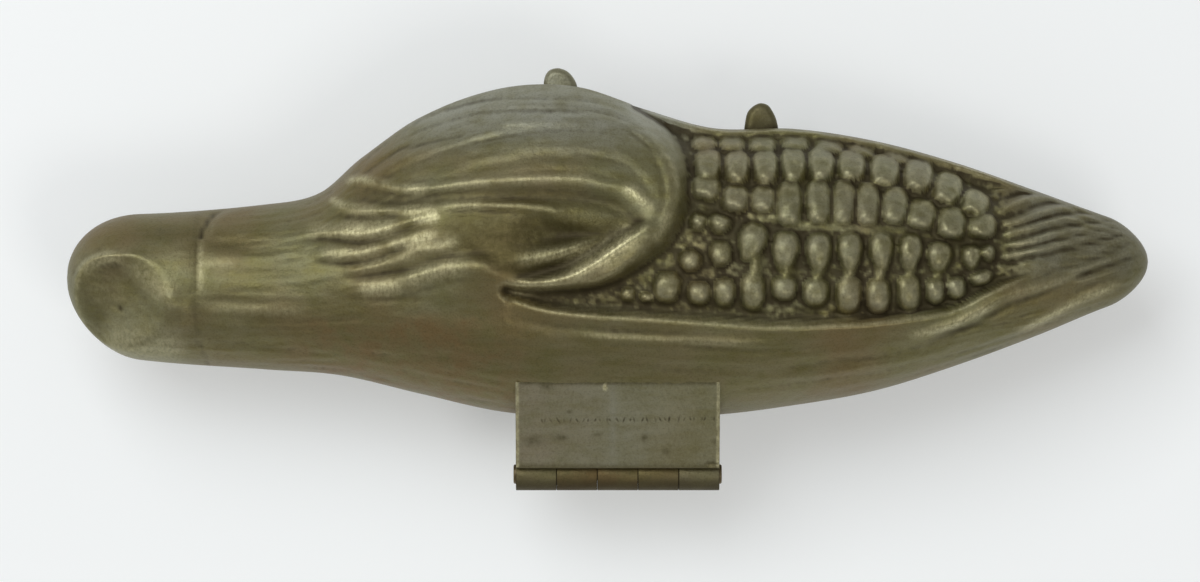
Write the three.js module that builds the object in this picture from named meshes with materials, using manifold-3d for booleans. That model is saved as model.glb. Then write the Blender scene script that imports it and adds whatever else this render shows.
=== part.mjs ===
// A hinged two-part ice cream mould in the form of an ear of maize, cast in pewter.
// Millimetres, +Z up. X runs from the stalk end to the tip, Y from the hinge to the thumb lugs.
// The origin is on the flat of the belly, under the middle of the mould's length.

import * as THREE from "three";
import { mergeVertices } from "three/addons/utils/BufferGeometryUtils.js";
import Module from "manifold-3d";

const wasm = await Module();
wasm.setup();

// Driving dimensions of the castings
const LENGTH = 133.4;
const WALL = 2.8;
const PARTING_HEIGHT = 15.2;
const PARTING_GAP = 0.1;
const STALK_ROUND = 9;
const TIP_ROUND = 5;
const SOLDER_GAP = 0.3;

// The plan of the ear as [x, y] points: its crest, and its rear and front rims without the rounded ends
const CREST_LINE = [[-66.7, -1.6], [-57.7, -2.7], [-42, -2.7], [-30, -1.2], [-15, 0], [48, 0.2], [66.7, 0.4]];
const REAR_RIM = [
  [-66.7, 6.7], [-57.7, 6.3], [-42, 7.5], [-35.5, 8.9], [-30.5, 13.1], [-23, 18.2], [-13, 21.7], [-4, 21.9],
  [4, 19.4], [13, 16.9], [23, 16.8], [33, 15.3], [43, 12.6], [53, 9.1], [61, 6.2], [66.7, 4.3],
];
const FRONT_RIM = [
  [-66.7, -9.9], [-57.7, -11.7], [-42, -12.9], [-33, -13.6], [-23, -15.9], [-13, -18.1], [-2, -18.9],
  [13, -18.5], [23, -17.3], [33, -15.5], [43, -12.4], [53, -8.7], [61, -5.4], [66.7, -3.5],
];

// How far the outside of each casting stands from the parting plane along its crest
const UPPER_RISE = [
  [-66.7, 8.3], [-57.7, 9.0], [-42, 10.0], [-33, 11.4], [-22, 13.8], [-10, 15.2], [5, 15.6], [22, 15.8],
  [33, 14.6], [43, 12.2], [53, 8.8], [61, 5.6], [66.7, 3.7],
];
const LOWER_DROP = [
  [-66.7, 8.3], [-57.7, 9.0], [-42, 10.0], [-33, 11.6], [-22, 14.2], [-8, 15.9], [20, 15.9],
  [33, 14.4], [43, 12.0], [53, 8.6], [61, 5.6], [66.7, 3.7],
];

// The size of a pixel in the view from above, and the pixel that lies over the origin
const PIXEL = 0.1234;
const PIXEL_ORIGIN = { x: 607.5, y: 265 };

// The bed of kernels, in pixels: the edges of the peeled leaf behind and the husk in front that leave it bare
const LEAF_EDGE = [
  [640, 104], [662, 120], [680, 143], [689, 170], [690, 198], [684, 224], [670, 247], [645, 267], [613, 284],
  [580, 291], [545, 293],
];
const FRONT_EDGE = [
  [514, 294], [550, 304], [600, 309], [652, 312], [720, 317], [773, 320], [850, 318], [913, 312], [952, 304],
  [986, 287], [1025, 272],
];
const TIP_EDGE_X = 47.4;
const BED_DEPTH = 1.5;
const FRONT_LIP = { high: 0.75, spread: 3.2, roll: 0.8, start: [-13, -2], end: [40, 60] };
const TIP_ROLL = 1.6;

// The peeled leaf: how it stands up and rolls over, its dished face, the hollow in that and its main folds
const LEAF_RISE = 1.7;
const LEAF_ROLL = 3;
const LEAF_START = { x: [-32, -8], y: [-6.5, -0.5] };
const LEAF_DISH = {
  deep: 0.75,
  slope: 3.2,
  start: [-26, -10],
  outline: [
    [400, 194], [458, 191], [529, 186], [578, 185], [602, 189], [624, 198], [642, 211], [649, 222],
    [638, 237], [622, 249], [600, 264], [572, 279], [537, 285], [505, 281], [470, 262], [430, 250],
    [400, 225],
  ],
};
const LEAF_HOLLOW = {
  deep: 1.3,
  slope: 2.2,
  start: [-16, -5],
  outline: [
    [546, 212], [558, 218], [587, 225], [612, 228], [636, 225], [634, 234], [614, 237], [598, 243],
    [577, 249], [545, 256], [505, 259], [480, 247], [480, 226], [512, 214],
  ],
};
const LEAF_FOLDS = [
  { high: 0.85, half: 1.2, line: [[290, 233], [338, 233], [368, 232], [393, 225], [437, 215], [465, 213]] },
  { high: 0.75, half: 1.0, line: [[290, 250], [344, 255], [373, 252], [405, 243], [429, 235], [470, 228]] },
  { high: 0.9, half: 1.2, line: [[320, 290], [388, 290], [405, 284], [429, 275], [478, 266], [520, 262]] },
  { high: 0.65, half: 1.6, line: [[440, 272], [478, 266], [526, 257], [562, 252], [582, 247], [602, 238]] },
  { high: 1.0, half: 1.0, line: [[505, 291], [562, 286], [575, 283], [611, 257], [645, 232], [655, 219]] },
  { high: -1.0, half: 0.9, line: [[500, 287], [538, 277], [574, 265], [599, 252], [616, 236], [630, 226]] },
];
const FOLD_TAPER = 0.3;
const FOLD_EDGE = 1.2;
const RIM_EASE = [0.05, 0.45];
const END_EASE = [0.15, 0.85];

// Rows of kernels: the share of its row's pitch that a kernel fills, its height over the bed,
// and each kernel's place and half breadth in pixels
const KERNEL_ROWS = [
  {
    share: 0.94,
    high: 1.15,
    places: [
      [704, 143, 9], [732, 143, 9], [762, 144, 9], [795, 142, 9], [828, 146, 9], [860, 149, 9], [895, 156, 9],
      [921, 163, 8],
    ],
  },
  {
    share: 0.95,
    high: 1.75,
    places: [
      [707, 165, 17], [736, 167, 17], [764, 167, 18], [792, 165, 18], [820, 164, 18], [850, 165, 16],
      [883, 170, 17], [917, 174, 18], [946, 188, 17], [973, 203, 13],
    ],
  },
  {
    share: 0.95,
    high: 1.8,
    places: [
      [705, 188, 13], [734, 199, 14], [761, 200, 14], [787, 204, 24], [816, 202, 24], [841, 203, 24],
      [865, 205, 23], [892, 206, 20], [919, 215, 16], [949, 223, 17], [979, 226, 13],
    ],
  },
  {
    share: 0.8,
    high: 1.85,
    places: [
      [697, 223, 9], [718, 225, 10], [750, 243, 21], [783, 252, 22], [816, 254, 22], [847, 253, 22],
      [878, 252, 22], [907, 253, 20], [936, 258, 17], [968, 258, 13], [985, 254, 9],
    ],
  },
  {
    share: 0.8,
    high: 1.75,
    places: [
      [666, 287, 16], [698, 293, 12], [723, 292, 15], [751, 291, 20], [782, 288, 13], [813, 292, 15],
      [846, 295, 20], [875, 296, 19], [906, 293, 20], [932, 291, 14], [953, 288, 12], [978, 278, 8],
    ],
  },
  { share: 0.72, high: 1.5, places: [[689, 261, 10], [719, 254, 13]] },
  { share: 0.8, high: 1.1, places: [[628, 294, 7], [646, 297, 5]] },
];
const KERNEL_SUNK = 0.5;
const KERNEL_STEEPEST = 0.5;
const CAVITY_KERNEL_SIZE = 0.85;

// The dished cut at the end of the stalk
const DISH = { x: -60.2, y: -4.3, long: 6, wide: 5.5, deep: 2.5 };

// The hinge: two leaves soldered to the castings, five knuckles in turn on one and the other, and a pin
const HINGE_Y = -25.8;
const HINGE_CENTRE_X = 1.25;
const HINGE_WIDTH = 25.1;
const KNUCKLE_COUNT = 5;
const KNUCKLE_RADIUS = 2.0;
const KNUCKLE_GAP = 0.14;
const BORE_RADIUS = 0.88;
const PIN_RADIUS = 0.8;
const PIN_HEAD = { radius: 1.3, thick: 0.45, dome: 0.2 };
const HINGE_LEAF_CLEARANCE = 0.15;
const HINGE_LEAF_LIP = { inset: 0.75, top: 3.3 };
const HINGE_LEAF_ROOT = { y: -12.6, top: 11.2 };

// Thumb lugs on the rim away from the hinge, one on each casting, to pull the mould open
const LUG = { width: 4.3, thick: 2.2, lift: 0.3, root: 4 };
const UPPER_LUG = { x: -5.8, tip: 24.3 };
const LOWER_LUG = { x: 19.0, tip: 20.0 };

// Pegs in the lower rim that enter sockets in the upper rim, so that the halves close in register
const PEG = { radius: 0.7, set: 2.2, stand: 1.3, chamfer: 0.35 };
const PEG_HOLE = { radius: 0.78, deep: 2.3 };
const PEG_SOCKET = { radius: 0.95, deep: 1.7 };
const PEG_X = { left: -44, right: 39 };

// How finely the curved faces are cut up
const FINENESS = {
  upper: { step: 2.0, sectors: 28 },
  lower: { step: 3.2, sectors: 18 },
  cavity: { step: 3.0, sectors: 16 },
};
const CREST_CROWDING = 0.3;
const PROBE = { x: 0.4, turn: 0.02 };
const SETTLE_STEPS = 3;
const ROUND_SIDES = 24;
const END_STEPS = 5;
const ARC_STEPS = 8;
const DOME_SIDES = 6;
const DOME_RINGS = 4;
const MERGE_DISTANCE = 1e-4;

const UPPER = 1;
const LOWER = -1;

// A smooth function through [x, y] points, held level past its ends.
function smoothThrough(points) {
  const slopeAt = (i) => {
    const before = points[Math.max(i - 1, 0)];
    const after = points[Math.min(i + 1, points.length - 1)];
    return (after[1] - before[1]) / (after[0] - before[0]);
  };
  return (x) => {
    const last = points.length - 1;
    if (x <= points[0][0]) return points[0][1];
    if (x >= points[last][0]) return points[last][1];
    const i = points.findIndex((p) => p[0] > x) - 1;
    const [x0, y0] = points[i];
    const [x1, y1] = points[i + 1];
    const span = x1 - x0;
    const t = (x - x0) / span;
    const bend = t * t * (3 - 2 * t);
    const leave = t * (1 - t) * (1 - t) * span * slopeAt(i);
    const arrive = t * t * (t - 1) * span * slopeAt(i + 1);
    return y0 + (y1 - y0) * bend + leave + arrive;
  };
}

const crest = smoothThrough(CREST_LINE);
const rearRim = smoothThrough(REAR_RIM);
const frontRim = smoothThrough(FRONT_RIM);
const rise = { [UPPER]: smoothThrough(UPPER_RISE), [LOWER]: smoothThrough(LOWER_DROP) };
const onPlan = ([px, py]) => [(px - PIXEL_ORIGIN.x) * PIXEL, (PIXEL_ORIGIN.y - py) * PIXEL];
const leafEdgeX = smoothThrough(LEAF_EDGE.map(onPlan).map(([x, y]) => [y, x]).reverse());
const frontEdgeY = smoothThrough(FRONT_EDGE.map(onPlan));
const easeBetween = (low, high, value) => THREE.MathUtils.smoothstep(value, low, high);

// How much the rounded ends take off the width at x, on a skin that stands grow outside the casting.
function endRound(x, grow) {
  const quarter = (distance, radius) => {
    const t = THREE.MathUtils.clamp(distance / radius, 0, 1);
    return Math.sqrt(1 - (1 - t) * (1 - t));
  };
  const fromStalk = quarter(x + LENGTH / 2 + grow, STALK_ROUND + grow);
  const fromTip = quarter(LENGTH / 2 + grow - x, TIP_ROUND + grow);
  return fromStalk * fromTip;
}

// How far a skin reaches from the crest to its rear rim, or to its front rim.
function reach(x, toRear, grow) {
  const bare = toRear ? rearRim(x) - crest(x) : crest(x) - frontRim(x);
  return (bare + grow) * endRound(x, grow);
}

// Rises from 0 at an edge to 1 at roll inside it, as a rounded edge does.
function rolled(depth, roll) {
  const t = THREE.MathUtils.clamp(depth / roll, 0, 1);
  return Math.sqrt(1 - (1 - t) * (1 - t));
}

// How far a place lies from the line between two points, and how far along that line, from 0 to 1.
function fromSegment([x0, y0], [x1, y1], x, y) {
  const run = [x1 - x0, y1 - y0];
  const along = ((x - x0) * run[0] + (y - y0) * run[1]) / (run[0] * run[0] + run[1] * run[1]);
  const t = THREE.MathUtils.clamp(along, 0, 1);
  return { apart: Math.hypot(x - x0 - t * run[0], y - y0 - t * run[1]), t };
}

// How far a place lies inside a closed outline, or 0 outside it.
function depthInside(outline, x, y) {
  let inside = false;
  let nearest = Infinity;
  outline.forEach((end, i) => {
    const start = outline[(i + outline.length - 1) % outline.length];
    nearest = Math.min(nearest, fromSegment(start, end, x, y).apart);
    const crossesLevel = start[1] > y !== end[1] > y;
    const crossing = start[0] + ((y - start[1]) * (end[0] - start[0])) / (end[1] - start[1]);
    if (crossesLevel && x < crossing) inside = !inside;
  });
  return inside ? nearest : 0;
}

// The height of a fold at a place: a rounded ridge or groove along a line, tapered to both ends.
function foldHeight({ high, half, line }, x, y) {
  let nearest = { apart: Infinity, share: 0 };
  for (let i = 0; i + 1 < line.length; i++) {
    const { apart, t } = fromSegment(line[i], line[i + 1], x, y);
    if (apart < nearest.apart) nearest = { apart, share: (i + t) / (line.length - 1) };
  }
  const taper = easeBetween(0, FOLD_TAPER, nearest.share) * easeBetween(0, FOLD_TAPER, 1 - nearest.share);
  return high * taper * Math.exp(-((nearest.apart / half) ** 2));
}

const leafLows = [LEAF_DISH, LEAF_HOLLOW].map((low) => ({ ...low, outline: low.outline.map(onPlan) }));
const leafFolds = LEAF_FOLDS.map((fold) => ({ ...fold, line: fold.line.map(onPlan) }));

// The relief on the upper casting: the leaf stands up, and the bed of kernels and the stalk's dish lie low.
function relief(x, y, folded) {
  const edgeSlope = leafEdgeX(y + 1 / 2) - leafEdgeX(y - 1 / 2);
  const inLeaf = (leafEdgeX(y) - x) / Math.hypot(1, edgeSlope);
  const inFront = frontEdgeY(x) - y;
  const onLeaf = rolled(inLeaf, LEAF_ROLL);
  const onFront = rolled(inFront, FRONT_LIP.roll);
  const cover = Math.max(onLeaf, onFront, rolled(x - TIP_EDGE_X, TIP_ROLL));
  const started = easeBetween(...LEAF_START.x, x) * easeBetween(...LEAF_START.y, y);
  const lip = onFront * Math.exp(-Math.max(inFront, 0) / FRONT_LIP.spread) *
    easeBetween(...FRONT_LIP.start, x) * (1 - easeBetween(...FRONT_LIP.end, x));
  const fromDish = Math.hypot((x - DISH.x) / DISH.long, (y - DISH.y) / DISH.wide);
  let height = LEAF_RISE * started * onLeaf + FRONT_LIP.high * lip - BED_DEPTH * (1 - cover);
  height -= DISH.deep * Math.max(1 - fromDish * fromDish, 0);
  leafLows.forEach(({ deep, slope, start, outline }) => {
    height -= deep * easeBetween(0, slope, depthInside(outline, x, y)) * easeBetween(...start, x);
  });
  if (!folded) return height;
  const edge = easeBetween(0, FOLD_EDGE, inLeaf);
  return leafFolds.reduce((sum, fold) => sum + edge * foldHeight(fold, x, y), height);
}

// A point of a casting's smooth skin, grow outside its form.
// The turn runs from 0 at the rear rim to PI at the front rim.
function smoothPoint(side, x, turn, grow) {
  const y = crest(x) + reach(x, turn < Math.PI / 2, grow) * Math.cos(turn);
  const height = PARTING_GAP / 2 + (rise[side](x) + grow) * endRound(x, grow) * Math.sin(turn);
  return new THREE.Vector3(x, y, PARTING_HEIGHT + side * height);
}

// Which way a casting's smooth skin faces.
function facingAt(side, x, turn, grow) {
  const spot = (stepX, stepTurn) => smoothPoint(side, x + stepX, turn + stepTurn, grow);
  const along = spot(PROBE.x, 0).sub(spot(-PROBE.x, 0));
  const round = spot(0, -PROBE.turn).sub(spot(0, PROBE.turn));
  return along.cross(round).multiplyScalar(side).normalize();
}

// A point of a casting's skin with its relief, which never stands out past the rim.
function skinPoint(side, x, turn, grow) {
  const base = smoothPoint(side, x, turn, grow);
  const share = easeBetween(...RIM_EASE, Math.sin(turn)) * easeBetween(...END_EASE, endRound(x, grow));
  if (side === LOWER || share === 0) return base;
  const facing = facingAt(side, x, turn, grow);
  const point = base.clone();
  for (let i = 0; i < SETTLE_STEPS; i++) {
    const lift = relief(point.x, point.y, grow >= 0) * share;
    point.copy(base).addScaledVector(facing, lift);
  }
  const rear = crest(x) + reach(x, true, grow);
  const front = crest(x) - reach(x, false, grow);
  point.y = THREE.MathUtils.clamp(point.y, front, rear);
  return point;
}

// Places along the ear for a skin, closer together round its ends.
function stations(step, grow) {
  const start = -LENGTH / 2 - grow;
  const stop = LENGTH / 2 + grow;
  const places = [];
  for (let i = 1; i < END_STEPS; i++) {
    places.push(start + (STALK_ROUND + grow) * (1 - Math.cos((i / END_STEPS) * Math.PI / 2)));
  }
  const from = start + STALK_ROUND + grow;
  const to = stop - TIP_ROUND - grow;
  const count = Math.round((to - from) / step);
  for (let i = 0; i <= count; i++) places.push(from + ((to - from) * i) / count);
  for (let i = END_STEPS - 1; i > 0; i--) {
    places.push(stop - (TIP_ROUND + grow) * (1 - Math.cos((i / END_STEPS) * Math.PI / 2)));
  }
  return { start, stop, places };
}

// The turn at a share of the way round a skin, closer together at the crest.
function crowdedTurn(share) {
  return Math.PI * share + (CREST_CROWDING / 2) * Math.sin(2 * Math.PI * share);
}

// One skin of a casting: its points, its triangles and the loop of points round its rim.
function skin(side, { step, sectors }, grow) {
  const { start, stop, places } = stations(step, grow);
  const points = [];
  places.forEach((x) => {
    for (let j = 0; j <= sectors; j++) points.push(skinPoint(side, x, crowdedTurn(j / sectors), grow));
  });
  const rimHeight = PARTING_HEIGHT + (side * PARTING_GAP) / 2;
  const stalkPole = points.push(new THREE.Vector3(start, crest(start), rimHeight)) - 1;
  const tipPole = points.push(new THREE.Vector3(stop, crest(stop), rimHeight)) - 1;
  const at = (i, j) => i * (sectors + 1) + j;
  const last = places.length - 1;
  const triangles = [];
  for (let j = 0; j < sectors; j++) {
    triangles.push([stalkPole, at(0, j + 1), at(0, j)], [tipPole, at(last, j), at(last, j + 1)]);
    for (let i = 0; i < last; i++) {
      triangles.push([at(i, j), at(i, j + 1), at(i + 1, j)], [at(i + 1, j), at(i, j + 1), at(i + 1, j + 1)]);
    }
  }
  const front = places.map((_, i) => at(i, sectors));
  const rear = places.map((_, i) => at(i, 0)).reverse();
  return { points, triangles, rim: [stalkPole, ...front, tipPole, ...rear] };
}

const turned = (triangles) => triangles.map(([a, b, c]) => [a, c, b]);

function solidFrom(points, triangles) {
  const vertProperties = new Float32Array(points.flatMap((p) => p.toArray()));
  const triVerts = new Uint32Array(triangles.flat());
  return new wasm.Manifold(new wasm.Mesh({ numProp: 3, vertProperties, triVerts }));
}

// The faces of the flat rim between an outer loop of points and, where there is one, an inner loop.
function rimFaces(outer, inner, points) {
  const flat = (loop) => loop.map((i) => new THREE.Vector2(points[i].x, points[i].y));
  const all = [...outer, ...inner];
  const holes = inner.length ? [flat(inner)] : [];
  return THREE.ShapeUtils.triangulateShape(flat(outer), holes).map((face) => face.map((i) => all[i]));
}

// A casting with its cavity: an outer skin, an inner skin and the rim that joins them.
function hollowCasting(side) {
  const outer = skin(side, side === UPPER ? FINENESS.upper : FINENESS.lower, 0);
  const inner = skin(side, FINENESS.cavity, -WALL);
  const shift = outer.points.length;
  const points = [...outer.points, ...inner.points];
  const innerFaces = turned(inner.triangles).map((face) => face.map((i) => i + shift));
  const rim = turned(rimFaces(outer.rim, inner.rim.map((i) => i + shift), points));
  const faces = [...outer.triangles, ...innerFaces, ...rim];
  return solidFrom(points, side === UPPER ? faces : turned(faces));
}

// The same outside as one full solid, to cut what is soldered on to it.
function outsideBlock(side, grow) {
  const outer = skin(side, side === UPPER ? FINENESS.upper : FINENESS.lower, grow);
  const faces = [...outer.triangles, ...turned(rimFaces(outer.rim, [], outer.points))];
  return solidFrom(outer.points, side === UPPER ? faces : turned(faces));
}

function solidOf(geometry) {
  const bare = geometry.index ? geometry.toNonIndexed() : geometry.clone();
  bare.deleteAttribute("normal");
  bare.deleteAttribute("uv");
  const merged = mergeVertices(bare, MERGE_DISTANCE);
  return new wasm.Manifold(
    new wasm.Mesh({
      numProp: 3,
      vertProperties: merged.attributes.position.array,
      triVerts: new Uint32Array(merged.index.array),
    }),
  );
}

function geometryOf(solid) {
  const mesh = solid.getMesh();
  const geometry = new THREE.BufferGeometry();
  geometry.setAttribute("position", new THREE.BufferAttribute(mesh.vertProperties, 3));
  geometry.setIndex(new THREE.BufferAttribute(mesh.triVerts, 1));
  geometry.computeVertexNormals();
  return geometry;
}

// A round bar along Z: radius, height and the height of its foot.
function upright(x, y, radius, foot, height) {
  const bar = new THREE.CylinderGeometry(radius, radius, height, ROUND_SIDES / 2);
  bar.rotateX(Math.PI / 2);
  return bar.translate(x, y, foot + height / 2);
}

// The turn of a place seen from above on the upper casting's outside.
function turnAt(x, y) {
  const offset = y - crest(x);
  return Math.acos(THREE.MathUtils.clamp(offset / reach(x, offset > 0, 0), -1, 1));
}

// The kernels as domes on a skin of the upper casting: proud of the outside, or sunk into the cavity's roof.
function kernels(grow, size) {
  const up = new THREE.Vector3(0, 0, 1);
  return KERNEL_ROWS.flatMap(({ share, high, places }) => {
    const centres = places.map(onPlan);
    return centres.map(([x, y], i) => {
      const before = Math.max(i - 1, 0);
      const after = Math.min(i + 1, centres.length - 1);
      const run = [0, 1].map((axis) => centres[after][axis] - centres[before][axis]);
      const pitch = Math.hypot(...run) / (after - before);
      const turn = turnAt(x, y);
      const facing = facingAt(UPPER, x, turn, grow);
      const breadth = (places[i][2] * PIXEL) / Math.max(facing.z, KERNEL_STEEPEST);
      const dome = new THREE.SphereGeometry(1, DOME_SIDES, DOME_RINGS).rotateX(Math.PI / 2);
      dome.scale((size * share * pitch) / 2, size * breadth, high + KERNEL_SUNK);
      dome.applyQuaternion(new THREE.Quaternion().setFromUnitVectors(up, facing));
      const centre = smoothPoint(UPPER, x, turn, grow).addScaledVector(facing, -BED_DEPTH - KERNEL_SUNK);
      return solidOf(dome.translate(centre.x, centre.y, centre.z));
    });
  });
}

const rimTop = PARTING_HEIGHT + PARTING_GAP / 2;
const rimBottom = PARTING_HEIGHT - PARTING_GAP / 2;
const pegPlace = (x) => [x, rearRim(x) - WALL / 2];

function upperCasting() {
  let casting = hollowCasting(UPPER);
  kernels(0, 1).forEach((dome) => (casting = casting.add(dome)));
  kernels(-WALL, CAVITY_KERNEL_SIZE).forEach((dome) => (casting = casting.subtract(dome)));
  Object.values(PEG_X).forEach((x) => {
    const socket = upright(...pegPlace(x), PEG_SOCKET.radius, rimTop - PEG_SOCKET.deep, 2 * PEG_SOCKET.deep);
    casting = casting.subtract(solidOf(socket));
  });
  return casting;
}

function lowerCasting() {
  let casting = hollowCasting(LOWER);
  const belowFlat = new THREE.BoxGeometry(LENGTH, LENGTH, WALL).translate(0, 0, -WALL / 2);
  casting = casting.subtract(solidOf(belowFlat));
  Object.values(PEG_X).forEach((x) => {
    const hole = upright(...pegPlace(x), PEG_HOLE.radius, rimBottom - PEG_HOLE.deep, 2 * PEG_HOLE.deep);
    casting = casting.subtract(solidOf(hole));
  });
  return casting;
}

const straightExtrude = (outline, depth) =>
  new THREE.ExtrudeGeometry(outline, { depth, bevelEnabled: false, curveSegments: ARC_STEPS });

// A hinge leaf: a wedge from the casting's side down to the barrel, hollowed round the knuckles.
function hingeLeaf(side) {
  const cove = KNUCKLE_RADIUS + HINGE_LEAF_CLEARANCE;
  const outline = new THREE.Shape();
  const lipAngle = Math.acos(HINGE_LEAF_LIP.inset / cove);
  const footAngle = Math.asin(PARTING_GAP / 2 / cove);
  outline.moveTo(HINGE_LEAF_ROOT.y, PARTING_GAP / 2);
  outline.lineTo(HINGE_LEAF_ROOT.y, HINGE_LEAF_ROOT.top);
  outline.lineTo(HINGE_Y + HINGE_LEAF_LIP.inset, HINGE_LEAF_LIP.top);
  outline.absarc(HINGE_Y, 0, cove, lipAngle, footAngle, true);
  const wedge = straightExtrude(outline, HINGE_WIDTH);
  // The outline lies in Y and Z, and the wedge runs along X.
  wedge.applyMatrix4(new THREE.Matrix4().makeBasis(
    new THREE.Vector3(0, 1, 0), new THREE.Vector3(0, 0, 1), new THREE.Vector3(1, 0, 0)));
  wedge.translate(HINGE_CENTRE_X - HINGE_WIDTH / 2, 0, 0);
  if (side === LOWER) wedge.rotateX(Math.PI).rotateZ(Math.PI).translate(2 * HINGE_CENTRE_X, 0, 0);
  wedge.translate(0, 0, PARTING_HEIGHT);
  return solidOf(wedge).subtract(outsideBlock(side, SOLDER_GAP));
}

// A solid turned about the hinge's line: profile points are [distance along X, radius].
function turnedAlongX(profile, middleX) {
  const points = profile.map(([x, radius]) => new THREE.Vector2(radius, -x));
  const geometry = new THREE.LatheGeometry(points, ROUND_SIDES);
  geometry.rotateZ(Math.PI / 2);
  return geometry.translate(middleX, HINGE_Y, PARTING_HEIGHT);
}

function knuckle(index) {
  const pitch = HINGE_WIDTH / KNUCKLE_COUNT;
  const half = (pitch - KNUCKLE_GAP) / 2;
  const middleX = HINGE_CENTRE_X + (index - (KNUCKLE_COUNT - 1) / 2) * pitch;
  const bore = [[-half, BORE_RADIUS], [half, BORE_RADIUS]];
  const outside = [[half, KNUCKLE_RADIUS], [-half, KNUCKLE_RADIUS]];
  return turnedAlongX([...bore, ...outside, bore[0]], middleX);
}

function hingePin() {
  const under = HINGE_WIDTH / 2;
  const shoulder = under + PIN_HEAD.thick;
  const end = shoulder + PIN_HEAD.dome;
  const halfProfile = [[under, PIN_RADIUS], [under, PIN_HEAD.radius], [shoulder, PIN_HEAD.radius], [end, 0]];
  const mirrored = halfProfile.map(([x, radius]) => [-x, radius]).reverse();
  return turnedAlongX([...mirrored, ...halfProfile].reverse(), HINGE_CENTRE_X);
}

// A thumb lug: a tongue with a round end, its root cut to the side of its casting.
function thumbLug(side, { x, tip }) {
  const half = LUG.width / 2;
  const outline = new THREE.Shape();
  outline.moveTo(x - half, tip - half - LUG.root);
  outline.lineTo(x + half, tip - half - LUG.root);
  outline.lineTo(x + half, tip - half);
  outline.absarc(x, tip - half, half, 0, Math.PI, false);
  const tongue = straightExtrude(outline, LUG.thick);
  const foot = side === UPPER ? LUG.lift : -LUG.lift - LUG.thick;
  tongue.translate(0, 0, PARTING_HEIGHT + foot);
  return solidOf(tongue).subtract(outsideBlock(side, SOLDER_GAP));
}

function registerPeg(x) {
  const [px, py] = pegPlace(x);
  const top = PEG.set + PEG.stand;
  const nose = PEG.radius - PEG.chamfer;
  const profile = [[0, 0], [PEG.radius, 0], [PEG.radius, top - PEG.chamfer], [nose, top], [0, top]];
  const points = profile.map(([radius, z]) => new THREE.Vector2(radius, z));
  const peg = new THREE.LatheGeometry(points, ROUND_SIDES / 2);
  peg.rotateX(Math.PI / 2);
  return peg.translate(px, py, rimBottom - PEG.set);
}

const pewter = { color: 0x6e6a54, roughness: 0.42, metalness: 0.9 };
const leafFinish = { color: 0x75715a, roughness: 0.45, metalness: 0.9 };
const knuckleFinish = { color: 0x5a5340, roughness: 0.5, metalness: 0.9 };
const steel = { color: 0x4c4a46, roughness: 0.4, metalness: 1.0 };

function piece(name, shape, finish) {
  const geometry = shape.isBufferGeometry ? shape : geometryOf(shape);
  const mesh = new THREE.Mesh(geometry, new THREE.MeshStandardMaterial(finish));
  mesh.name = name;
  return mesh;
}

// The lower half lies on its belly, and the upper half swings open on the hinge pin.
const lowerHalf = new THREE.Group();
lowerHalf.add(
  piece("lower_casting", lowerCasting(), pewter),
  piece("lower_hinge_leaf", hingeLeaf(LOWER), leafFinish),
  piece("lower_thumb_lug", thumbLug(LOWER, LOWER_LUG), pewter),
  piece("hinge_pin", hingePin(), steel),
);
Object.entries(PEG_X).forEach(([place, x]) => {
  lowerHalf.add(piece(`register_peg_${place}`, registerPeg(x), pewter));
});

const upperHalf = new THREE.Group();
upperHalf.add(
  piece("upper_casting", upperCasting(), pewter),
  piece("upper_hinge_leaf", hingeLeaf(UPPER), leafFinish),
  piece("upper_thumb_lug", thumbLug(UPPER, UPPER_LUG), pewter),
);

// The outer and middle knuckles belong to the upper leaf, and the two between them to the lower leaf.
for (let i = 0; i < KNUCKLE_COUNT; i++) {
  const [half, owner] = i % 2 ? [lowerHalf, "lower"] : [upperHalf, "upper"];
  half.add(piece(`${owner}_knuckle_${i + 1}`, knuckle(i), knuckleFinish));
}

const mould = new THREE.Group();
mould.add(lowerHalf, upperHalf);

export default mould;
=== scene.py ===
"""Looks of a hinged cast pewter mould shaped as an ear of maize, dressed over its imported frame."""

import math

import bpy
import numpy as np
from bpy.props import FloatProperty, FloatVectorProperty, IntProperty, PointerProperty
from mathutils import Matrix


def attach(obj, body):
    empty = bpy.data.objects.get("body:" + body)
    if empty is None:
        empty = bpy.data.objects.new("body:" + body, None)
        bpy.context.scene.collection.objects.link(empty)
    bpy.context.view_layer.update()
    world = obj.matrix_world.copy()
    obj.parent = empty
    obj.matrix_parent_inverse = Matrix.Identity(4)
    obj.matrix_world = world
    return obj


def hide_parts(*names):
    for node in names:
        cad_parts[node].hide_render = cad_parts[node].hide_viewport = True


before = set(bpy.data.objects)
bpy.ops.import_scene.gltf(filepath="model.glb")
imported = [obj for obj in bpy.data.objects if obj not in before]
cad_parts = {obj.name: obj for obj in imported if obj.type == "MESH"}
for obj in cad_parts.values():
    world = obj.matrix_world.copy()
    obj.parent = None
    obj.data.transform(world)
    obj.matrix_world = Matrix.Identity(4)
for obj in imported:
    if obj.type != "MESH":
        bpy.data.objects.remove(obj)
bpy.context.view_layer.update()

bl_info = {
    "name": "Ear of maize mould",
    "version": (1, 0, 0),
    "blender": (4, 5, 0),
    "location": "View3D > Sidebar > Mould",
    "description": "Models the castings, hinge, lugs, pegs and stage of a hinged pewter mould",
    "category": "Add Mesh",
}

# Lengths are in millimetres until a mesh is made, and Blender's are in metres.
MM = 0.001
UPPER = 1
LOWER = -1

# The photograph: its width in pixels, a pixel's size at the parting plane, and where the origin lies in it.
PHOTO_WIDTH = 1200
PHOTO_CENTRE = (600, 291)
PIXEL = 0.1234
PIXEL_ORIGIN = (607.5, 265.0)

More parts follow.
